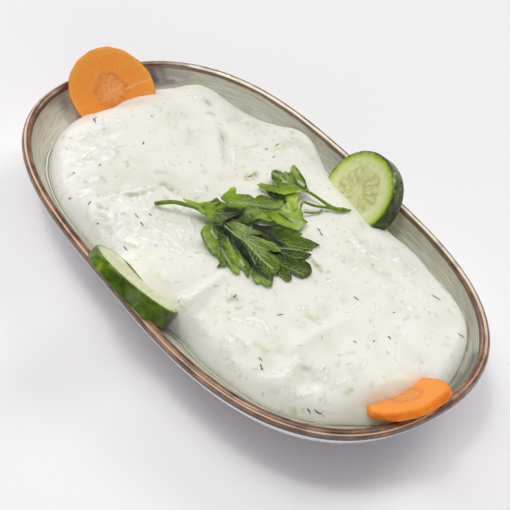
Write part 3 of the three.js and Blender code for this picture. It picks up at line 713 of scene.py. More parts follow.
def cucumber_look():
    look = Look("cucumber", Subsurface_Weight=0.12, Subsurface_Radius=(0.8, 1.0, 0.4), Subsurface_Scale=0.002,
                Specular_IOR_Level=0.25, Coat_Weight=0.08, Coat_Roughness=0.12)
    tint = look.attribute("tint")
    fibres, clouds = look.noise(1.0, 4, 0.6, look.attribute("fibre", "Vector")), look.noise(200, 4, 0.6)
    edge = look.swing(look.attribute("share"), fibres, 0.12)
    flesh = look.ramp(
        edge, (0.0, 230, 232, 178), (0.4, 218, 223, 162), (0.62, 228, 232, 178), (0.8, 216, 224, 158),
        (0.88, 190, 208, 98), (0.94, 140, 172, 34), (0.985, 62, 84, 18))
    # Painted light: the slice with tint, the front one, is a lit copy whose face is paler.
    flesh = look.over(flesh, look.times(tint, look.remap(edge, 0.95, 0.82)), (232, 234, 192), 0.75)
    flesh = look.over(flesh, look.remap(fibres, 0.5, 0.36), (186, 194, 110), 0.35)
    pockets = look.times(look.attribute("gel"), look.remap(look.noise(330), 0.38, 0.62, 0.25, 1.15))
    flesh = look.over(flesh, pockets, (184, 190, 104))
    flesh = look.over(flesh, look.attribute("wall"), (212, 214, 158))
    husks = look.times(look.attribute("seed_rim"), look.remap(fibres, 0.4, 0.6, 0.3, 1.1))
    flesh = look.over(flesh, husks, (146, 154, 76))
    flesh = look.over(flesh, look.attribute("seed"), (216, 220, 168))
    patches = look.noise(170, 5, 0.62, distortion=0.6)
    # Peel: the front slice's is a lit copy, brighter yellow-green; the back slice's is a shaded copy, darker, with a
    # painted grey sheen.
    bright = look.ramp(patches, (0.34, 56, 72, 18), (0.48, 82, 108, 18), (0.58, 104, 132, 28), (0.74, 140, 166, 56))
    shaded_peel = look.ramp(patches, (0.34, 50, 56, 42), (0.5, 80, 94, 54), (0.6, 102, 120, 62), (0.68, 184, 186, 150))
    # Painted shade darkens the peel's ends.
    peel = look.over(look.mix(tint, shaded_peel, bright), look.attribute("shade"), (34, 42, 42))
    look.bump(fibres, 0.2, 0.3, look.bump(look.noise(900), 0.2, 0.15))
    return look.finish(look.mix(look.attribute("side"), flesh, peel), look.remap(clouds, 0.3, 0.7, 0.22, 0.36))


def leaf_look():
    look = Look("parsley", Specular_IOR_Level=0.15, Coat_Weight=0.03, Coat_Roughness=0.2)
    patches = look.noise(420, 4, 0.6)
    # The blade's tone: its own lightness together with painted light and shade.
    blade = look.ramp(
        look.swing(look.attribute("tone"), patches, 0.5), (0.0, 30, 38, 22), (0.22, 52, 68, 20),
        (0.45, 88, 112, 30), (0.7, 136, 164, 46), (1.0, 196, 214, 104))
    # Painted sheen; then the veins; then painted light (bright), painted shade (dark), and pale veins with painted
    # glints (light).
    sheen = look.times(look.attribute("sheen"), look.remap(look.noise(1100), 0.4, 0.6, 0.5, 1.1))
    blade = look.over(blade, sheen, (156, 172, 118))
    blade = look.over(blade, look.attribute("veinlet"), (150, 174, 88), 0.4)
    blade = look.over(blade, look.attribute("vein"), (170, 192, 104), 0.5)
    blade = look.over(blade, look.attribute("bright"), (124, 164, 20))
    blade = look.over(blade, look.attribute("dark"), (34, 42, 38))
    blade = look.over(blade, look.attribute("light"), (198, 212, 158))
    look.bump(look.noise(1300), 0.8, 0.3)
    return look.finish(blade, look.remap(patches, 0.3, 0.7, 0.36, 0.55))


def stem_look():
    look = Look("parsley_stem", Specular_IOR_Level=0.3, Coat_Weight=0.15, Coat_Roughness=0.2)
    streaks = look.noise(500)
    look.bump(streaks, 0.3, 0.2)
    return look.finish(look.ramp(streaks, (0.3, 84, 112, 6), (0.55, 116, 146, 20), (0.75, 156, 178, 60)),
                       look.remap(streaks, 0.3, 0.7, 0.3, 0.45))


def dill_look():
    look = Look("dill", Coat_Weight=0.2, Coat_Roughness=0.25)
    patches = look.noise(500)
    colour = look.ramp(look.swing(look.attribute("tone"), patches, 0.5),
                       (0.0, 62, 82, 44), (0.4, 118, 134, 92), (0.75, 190, 197, 176), (1.0, 222, 225, 212))
    return look.finish(colour, look.remap(patches, 0.3, 0.7, 0.35, 0.5))


# ---- The dish ----

DISH_SIDES = 320
SECTION_STEPS = 7
# A painted highlight runs along the lip as a pale band, nearer its outside on the near
# side than on the far side, and nearer its outside at the left end.
HIGHLIGHT_SHIFT = 1.2
LEFT_HIGHLIGHT_SHIFT = 1.3
HIGHLIGHT_WIDTH = 0.62
HIGHLIGHT_NARROWS = 0.45
# The rim's long sides lie this much further in than the part's plain oval.
NEAR_TUCK = 1.5
FAR_TUCK = 1.1
# Laps are millimetres along the dish's section, counted from the crest of its lip.
FIRST_LAP = -20
LAST_LAP = 40
TUCK_FADES = (1, 9)
# The rim turns into the far side between these cosines of its angle to the camera.
FAR_SIDE = (0.1, -0.7)
# A place well outside the painted highlight.
NO_HIGHLIGHT = 9
# How brush strokes stretch: millimetres of noise round the dish and for each lap.
BRUSH_ROUND = 9
BRUSH_LAP = 2.3
# Where the glaze is shaded, by the carrot slices and under the lip: (pixel line, half width, strength).
GLAZE_SHADE = [
    ([(149, 66), (155, 80)], 7, 0.9), ([(160, 68), (164, 78)], 6, 0.7), ([(150, 86), (172, 81)], 4, 0.6),
    ([(168, 72), (186, 78)], 5, 0.35), ([(48, 102), (60, 96), (66, 106)], 5.5, 0.45),
    ([(446, 396), (457, 385), (468, 371), (474, 356)], 3.6, 0.7), ([(455, 384), (460, 376)], 4, 0.4),
]
# Where the lip's painted highlight is dimmed: (pixel line, half width, strength).
LIP_DIMMED_HIGHLIGHT = [
    ([(138, 61), (160, 63), (182, 68)], 8, 0.75), ([(22, 165), (18, 140), (24, 118), (40, 101), (62, 84)], 8, 0.45),
    ([(478, 345), (483, 362), (476, 380), (462, 393), (438, 406)], 9, 0.8),
]


def build_dish():
    wall = smooth_line(OUTSIDE + LIP + INSIDE + [(FLOOR_INSET, FLOOR_HEIGHT)], SECTION_STEPS)
    section = np.vstack([FOOT_RECESS, wall])
    crest = len(FOOT_RECESS) + SECTION_STEPS * (len(OUTSIDE) + 2)
    lengths = run_lengths(section)
    laps = np.clip(lengths - lengths[crest], FIRST_LAP, LAST_LAP)[:, None]
    turns = 2 * np.pi * np.arange(DISH_SIDES) / DISH_SIDES
    outward = np.arctan2(np.sin(turns) * DISH_HALF_LENGTH, np.cos(turns) * DISH_HALF_WIDTH)
    toward = np.cos(outward - math.atan2(BACK[1], BACK[0]))
    # The painted highlight shifts along the lip's section with the side of the dish that faces the camera.
    shift = HIGHLIGHT_SHIFT * toward + LEFT_HIGHLIGHT_SHIFT * np.clip(-np.cos(outward), 0, 1) ** 4
    tuck = np.where(np.sin(turns) < 0, NEAR_TUCK, FAR_TUCK) * np.sin(turns) ** 2 * (1 - smooth_step(*TUCK_FADES, laps))
    x, y = outline_point(np.minimum(section[:, :1] + tuck, DISH_HALF_WIDTH - 2), turns)
    around = np.ones(x.shape)
    brush = [BRUSH_ROUND * np.cos(turns) * around, BRUSH_ROUND * np.sin(turns) * around, BRUSH_LAP * laps * around]
    points = with_ends([0, 0, FOOT_RECESS[0][1]], np.dstack([x, y, section[:, 1:] * around]), [0, 0, FLOOR_HEIGHT])
    attributes = {
        "lap": with_ends(FIRST_LAP, laps * around, LAST_LAP),
        "brush": with_ends([0, 0, 0], np.dstack(brush), [0, 0, BRUSH_LAP * LAST_LAP]),
        "lip_highlight": with_ends(NO_HIGHLIGHT, (laps + shift) / (HIGHLIGHT_WIDTH * (1 - HIGHLIGHT_NARROWS * toward)), NO_HIGHLIGHT),
        "far": with_ends(0.5, smooth_step(*FAR_SIDE, toward) * around, 0.5),
        "shade": painted(points, GLAZE_SHADE), "dimmed_highlight": painted(points, LIP_DIMMED_HIGHLIGHT),
    }
    faces = stack_faces(len(section), DISH_SIDES)
    mesh_piece("dish_body", points, faces, glaze_look(), "dish", attributes)


# ---- The yogurt ----

# The yogurt's mesh has square rings, which crowd together at its rounded edge.
YOGURT_RINGS = 142
EDGE_STEPS = [0, 0.06, 0.18, 0.36, 0.6, 0.9, 1.25, 1.65, 2.1, 2.6, 3.15, 3.75, 4.4, 5.1, 5.9]
INNER_GAP = 0.7
SMUDGE_WIDTH = 1.5
SMUDGE_STRENGTH = 0.5
SUNK_BELOW = 0.55
CARROT_GLOW = 0.5
CARROT_GLOW_REACH = 1.7
CARROT_GLOW_SPREAD = 2.5
# Painted light whitens the yogurt's edge on the near side; it fades inward and across the dish between these places.
NEAR_EDGE_STRENGTH = 0.85
NEAR_EDGE_INWARD = (13, 3)
NEAR_EDGE_ACROSS = (-10, -26)
# Painted shade darkens the yogurt where its finer relief lies below the plain surface, between these depths.
HOLLOW_DEPTH = (0.1, -0.6)
# The olive tint and painted shade vary by noise of this size and seed.
OLIVE_STRENGTH = 0.75
OLIVE_VARIES = 1.1
OLIVE_NOISE = (2.4, 9)
YOGURT_BOTTOM = 0.3


def ring_turns(ring):
    """Places round the dish of the 8 x ring points on a ring of a square grid."""
    side = np.arange(-ring, ring) / ring * math.pi / 4
    return np.concatenate([side + quarter * math.pi / 2 for quarter in range(4)])


def grid_faces(rings):
    """Faces of square rings round a middle point, each ring with 8 points more."""
    faces, start, inner_start = [], 1, 0
    for ring in range(1, rings + 1):
        count, inner_count, inner_side = 8 * ring, max(8 * (ring - 1), 1), 2 * (ring - 1)
        for here in range(count):
            quarter, step = divmod(here, 2 * ring)
            low, high = (inner_start + (quarter * inner_side + min(max(place, 0), inner_side)) % inner_count
                         for place in (step - 1, step))
            outer = (start + here, start + (here + 1) % count)
            faces.append((low, *outer) if low == high else (low, *outer, high))
        start, inner_start = start + count, start
    return faces


def carrot_glow(points):
    """Orange light from the front carrot slice on the yogurt that it leans over."""
    piece = SLICES["carrot_slice_front"]
    to_world = slice_matrix(piece)
    local = (points - to_world[:3, 3]) @ to_world[:3, :3]
    above = local[:, 2]
    beyond = np.maximum(np.hypot(local[:, 0], local[:, 1]) - piece["radius"] + 1, 0)
    glow = np.exp(-np.maximum(above, 0) / CARROT_GLOW_REACH) * bell(beyond, CARROT_GLOW_SPREAD)
    return CARROT_GLOW * np.where(above > -0.4, glow, 0)


def build_yogurt():
    inner_rings = YOGURT_RINGS - len(EDGE_STEPS)
    plan = [np.zeros((1, 2))]
    for ring in range(1, YOGURT_RINGS + 1):
        turns = ring_turns(ring)
        if ring > inner_rings:
            step, share = EDGE_STEPS[YOGURT_RINGS - ring], 1
        else:
            step, share = EDGE_STEPS[-1] + INNER_GAP, ring / inner_rings
        plan.append(np.column_stack(outline_point(edge_inset(turns) + step, turns)) * share)
    plan = np.vstack(plan)
    bottom, rim = len(plan), len(plan) - 8 * YOGURT_RINGS
    points = np.column_stack([plan, yogurt_height(*plan.T)])
    points = np.vstack([points, [0, 0, FLOOR_HEIGHT + YOGURT_BOTTOM]])
    faces = grid_faces(YOGURT_RINGS)
    faces += [(rim + (i + 1) % (bottom - rim), rim + i, bottom) for i in range(bottom - rim)]
    x, y = points[:, 0], points[:, 1]
    inset, turn = place_in_dish(x, y)
    smudges = [(fleck_ends(spec), SMUDGE_WIDTH, SMUDGE_STRENGTH * spec[4] / SUNK_BELOW)
               for spec in DILL_FLECKS if spec[4] < SUNK_BELOW]
    attributes = {
        "olive_and_shade": painted(points, OLIVE_AND_SHADE_STROKES) * (OLIVE_STRENGTH + OLIVE_VARIES * soft_noise(x, y, *OLIVE_NOISE)),
        "glow": carrot_glow(points), "wet": wetness(x, y),
        "near_edge_light": NEAR_EDGE_STRENGTH * smooth_step(*NEAR_EDGE_INWARD, inset - edge_inset(turn))
        * smooth_step(*NEAR_EDGE_ACROSS, y),
        "hollow": smooth_step(*HOLLOW_DEPTH, fine_map(x, y) - plain_map(x, y)),
        "shine": painted(points, [(smooth_line(line, 4), CREST_SHINE, 1) for line in CRESTS]),
        "smudge": painted(points, smudges),
    }
    mesh_piece("haydari_yogurt", points, faces, yogurt_look(), "haydari", attributes)


# Thin whey along the near wall, from one place round the dish to another.
FILM_FROM, FILM_TO = 214, 334
FILM_STEPS = 300
FILM_WIDTH = 2.3
FILM_OVERLAP = 0.8
# It narrows over these degrees at its two ends, and varies by noise of this size and seed.
FILM_NARROWS = (12, 16)
FILM_SHARE = 0.85
FILM_VARIES = 0.4
FILM_NOISE = (9, 31)
FILM_LEAST = 0.05
FILM_POINTS = 12
FILM_RISE = 0.3
FILM_SUNK = -0.25


def build_film():
    """Thin whey that has run out between the yogurt and the dish's near wall."""
    places = np.linspace(FILM_FROM, FILM_TO, FILM_STEPS)[:, None]
    at_start, at_end = FILM_NARROWS
    swell = smooth_step(0, at_start, places - FILM_FROM) * smooth_step(0, at_end, FILM_TO - places)
    uneven = FILM_SHARE + FILM_VARIES * soft_noise(places, 0 * places, *FILM_NOISE)
    width = FILM_WIDTH * swell * uneven + FILM_LEAST
    shares = np.linspace(0, 1, FILM_POINTS)
    rise = np.append(FILM_RISE * np.sqrt(1 - shares ** 2) + FILM_LEAST, np.full(FILM_POINTS, FILM_SUNK))
    shares = np.append(shares, shares[::-1])
    inset = edge_inset(np.radians(places)) + FILM_OVERLAP - shares * (width + FILM_OVERLAP)
    points = np.dstack([*outline_point(inset, np.radians(places)), wall_height(inset) + rise])
    count = len(shares)
    last = (FILM_STEPS - 1) * count
    faces = [face for start in range(0, last, count) for face in ring_faces(start, start + count, count)]
    faces += [tuple(range(count))[::-1], tuple(range(last, last + count))]
    mesh_piece("whey_film", points.reshape(-1, 3), faces, film_look(), "haydari",
               {"share": np.tile(shares, FILM_STEPS)})


# ---- The slices ----

SLICE_SIDES = 240
SLICE_RINGS = 52
FACET_SHARE = 0.6
SKIN_STRENGTH = 0.85
# Fibres run outward: their stretch round the slice, outward and for each millimetre down.
FIBRE_ROUND = 7
FIBRE_OUTWARD = 0.1
FIBRE_DOWN = 0.3
BUMPS_ROUND = 9.1
BUMP_NOISE = (1.6, 12)
WEDGE_POWER = 1.5
# Seeds of one lobe: (distance from the middle, degrees off its heading, half length, half width).
SEEDS = [(5.2, 22, 1.9, 0.8), (5.4, -20, 1.9, 0.8), (8.3, 12, 2.5, 1.05), (8.2, -14, 2.4, 1.0),
         (8.2, 36, 2.3, 0.95), (8.0, -38, 2.3, 0.95)]
SEED_LOBES = 3
SEED_LOBE_START = 30
SEED_HEIGHT = 0.34
SEED_TAPER = 0.35
SEED_RIM = 0.5
# Creamy walls between the lobes and in the middle: half widths, and where the walls end.
WALL_WIDTH = 0.7
MIDDLE_WIDTH = 1.8
WALL_ENDS = (11.5, 9)
# The gel lies between these distances from the middle.
GEL_DEPTH = 0.3
GEL_BEGINS = (1.5, 3)
GEL_ENDS = (11.2, 9.4)
# How strongly each is coloured.
SEED_COLOUR = 0.8
SEED_RIM_COLOUR = 0.45
WALL_COLOUR = 0.8
GEL_COLOUR = 0.6
# A painted highlight along a crease on the back carrot slice, and pale marks near its core: (pixel line, half width,
# strength).
CARROT_HIGHLIGHT_AND_CORE_MARKS = [
    ([(127, 88.5), (138, 83.5), (151, 79)], 1.0, 0.75), ([(105, 99), (112, 92), (120, 86)], 2.6, 0.35),
    ([(112, 92), (108, 84), (111, 78)], 1.6, 0.3), ([(112, 92), (122, 94)], 1.4, 0.3),
]
# Painted shade at the ends of the cucumber peel: (pixel line, half width, strength).
PEEL_SHADE = [
    ([(172, 330), (177, 312)], 6.5, 0.9), ([(84, 250), (90, 243)], 3, 0.3), ([(372, 222), (388, 214)], 5, 0.45),
]


def slice_matrix(piece):
    """From a slice's own frame to the row frame, as the part leans it."""
    lean, azimuth = math.radians(piece["lean"]), math.radians(piece["azimuth"])
    turn = Matrix.Rotation(azimuth, 4, "Z") @ Matrix.Rotation(lean, 4, "Y")
    return np.array(Matrix.Translation(Vector(piece["middle"])) @ turn)


def slice_radius(piece, turns):
    outline = 1 + sum(amount * np.cos(waves * turns - math.radians(phase)) for waves, amount, phase in piece["wobble"])
    if piece["facets"]:
        step = 2 * np.pi / piece["facets"]
        facets = np.cos(step / 2) / np.cos((turns % step) - step / 2)
        outline = outline * (1 - FACET_SHARE + FACET_SHARE * facets)
    return piece["radius"] * outline


def slice_mesh(piece):
    """Points, faces and attributes of a fine slice in its own frame."""
    turns = 2 * np.pi * np.arange(SLICE_SIDES) / SLICE_SIDES
    radius, thick = slice_radius(piece, turns), piece["thick"]
    edge = piece["edge"] * thick
    corners = [(edge * (1 - math.sin(angle)), edge * (1 - math.cos(angle))) for angle in np.radians([30, 60, 90])]
    flat = [(radius - edge) * share for share in np.linspace(0, 1, SLICE_RINGS + 1)[1:]]
    # Rings from the middle of the lower face to the middle of the upper face: reach, height, on the side.
    rings = [(reach, -thick, 0) for reach in flat] + [(radius - inward, rise - thick, 1) for inward, rise in corners]
    rings += [(radius, edge - thick + share * (thick - 2 * edge), 1) for share in (0.2, 0.4, 0.6, 0.8)]
    rings += [(radius - inward, -rise, 1) for inward, rise in corners[::-1]] + [(reach, 0, 0) for reach in flat[::-1]]
    stack = [np.column_stack([reach * np.cos(turns), reach * np.sin(turns), np.full(SLICE_SIDES, height)])
             for reach, height, _ in rings]
    points = with_ends([0, 0, -thick], stack, [0, 0, 0])
    share = with_ends(0, [reach / radius for reach, _, _ in rings], 0)
    around, reach = np.arctan2(points[:, 1], points[:, 0]), np.hypot(points[:, 0], points[:, 1])
    skin = SKIN_STRENGTH * smooth_step(1 - piece["skin_reach"], 0.99, share) * (points[:, 2] > -0.5 * thick)
    side = with_ends(0, np.repeat([side for *_, side in rings], SLICE_SIDES), 0)
    fibre = [FIBRE_ROUND * np.cos(around) + FIBRE_OUTWARD * reach, FIBRE_ROUND * np.sin(around),
             FIBRE_DOWN * (reach + points[:, 2])]
    attributes = {"share": share, "side": np.maximum(side, skin), "fibre": np.column_stack(fibre),
                  "tint": np.full(len(points), piece["tint"])}
    bumps = piece["bumps"] * soft_noise(BUMPS_ROUND * around, points[:, 2] + 4, *BUMP_NOISE)
    bumps = bumps * smooth_step(0.8, 1, reach / piece["radius"])
    points[:, :2] += bumps[:, None] * np.column_stack([np.cos(around), np.sin(around)])
    heading, amount = math.radians(piece["wedge"][0]), piece["wedge"][1]
    toward = (points[:, 0] * math.cos(heading) + points[:, 1] * math.sin(heading)) / piece["radius"]
    points[:, 2] *= 1 + amount * np.clip(toward, 0, 1) ** WEDGE_POWER
    if piece["seeds"]:
        attributes.update(seed_relief(points, piece["seeds"]))
    return points, stack_faces(len(rings), SLICE_SIDES), attributes


def seed_relief(points, strength):
    """Three seed lobes: a hollow with gel, creamy walls between, and raised seeds."""
    x, y = points[:, 0], points[:, 1]
    reach, around = np.hypot(x, y), np.degrees(np.arctan2(y, x))
    seed, rim = np.zeros(len(x)), np.zeros(len(x))
    apart = 360 / SEED_LOBES
    for lobe in range(SEED_LOBES):
        for place, off, half_length, half_width in SEEDS:
            heading = math.radians(SEED_LOBE_START + apart * lobe + off)
            along = x * math.cos(heading) + y * math.sin(heading) - place
            across = y * math.cos(heading) - x * math.sin(heading)
            width = np.maximum(half_width * (1 + SEED_TAPER * along / half_length), 0.2)
            level = 1 - (along / half_length) ** 2 - (across / width) ** 2
            seed = np.maximum(seed, np.clip(level, 0, 1))
            rim = np.maximum(rim, np.clip(1 - np.abs(level) / SEED_RIM, 0, 1))
    from_wall = (around - SEED_LOBE_START + apart / 2) % apart
    from_wall = np.minimum(from_wall, apart - from_wall)
    wall = bell(reach * np.sin(np.radians(from_wall)), WALL_WIDTH) * smooth_step(*WALL_ENDS, reach)
    wall = np.maximum(wall * (from_wall < apart / 3), 0.8 * bell(reach, MIDDLE_WIDTH))
    uneven = 0.5 * np.sin(2 * SEED_LOBES * np.radians(around))
    gel = smooth_step(*GEL_ENDS, reach + uneven) * smooth_step(*GEL_BEGINS, reach)
    upper, lower = points[:, 2] > -0.01, points[:, 2] < points[:, 2].min() + 0.01
    relief = strength * (SEED_HEIGHT * np.sqrt(seed) - GEL_DEPTH * gel * (1 - wall))
    points[:, 2] += np.where(upper, relief, 0) - np.where(lower, relief, 0)
    flat = (upper | lower) * strength
    return {"seed": SEED_COLOUR * flat * np.sqrt(seed), "seed_rim": SEED_RIM_COLOUR * flat * rim,
            "wall": WALL_COLOUR * flat * wall, "gel": GEL_COLOUR * flat * gel}


def build_slices():
    looks = {"cucumber": cucumber_look(), "carrot": carrot_look()}
    for name, piece in SLICES.items():
        points, faces, attributes = slice_mesh(piece)
        to_world = slice_matrix(piece)
        world = points @ to_world[:3, :3].T + to_world[:3, 3]
        attributes["light"] = painted(world, CARROT_HIGHLIGHT_AND_CORE_MARKS) * (points[:, 2] > -1)
        attributes["shade"] = painted(world, PEEL_SHADE) * attributes["side"]
        slot = name.split("_")[0]
        mesh_piece(name + "_detail", world, faces, looks[slot], name, attributes)


# ---- The parsley ----

LEAF_GRID = 0.32
LEAF_ROW = 0.87
LEAF_SHEET = 0.22
LEAF_CLEARANCE = 0.25
OUTLINE_STEPS = 6
OUTLINE_FRAY = 0.16
LEAF_TONE = 0.48
LEAF_CONTRAST = 1.45
MIDDLE_TONE = 0.46
RIB_LIFT = 2.5
RIB_WIDTH = 0.2
VEIN_WIDTH = 0.16
SIDE_VEIN_STEP = 1.9
SIDE_VEIN_LENGTH = 3.4
SIDE_VEIN_SLANT = math.radians(42)
# Each point of a leaf follows its controls, by one over the distance to this power.
PULL_POWER = 2.6
PULL_SOFTNESS = 0.02
# The sheet puffs up beside ribs and veins: (height, reach). It waves: (height, size, seed).
RIB_PUFF = (0.3, 1.4)
VEIN_PUFF = (0.16, 0.7)
LEAF_WAVES = [(0.22, 4.5, 1), (0.1, 2.2, 2)]
EDGE_DROOP = (-0.1, 0.7)
EDGE_GAP = 0.3
LEAST_LIFT = 0.12
UNDERSIDE_PALER = 0.12
LEAFLET_SEED = 20
STEM_CLEARANCE = 0.5
STEM_SIDES = 10

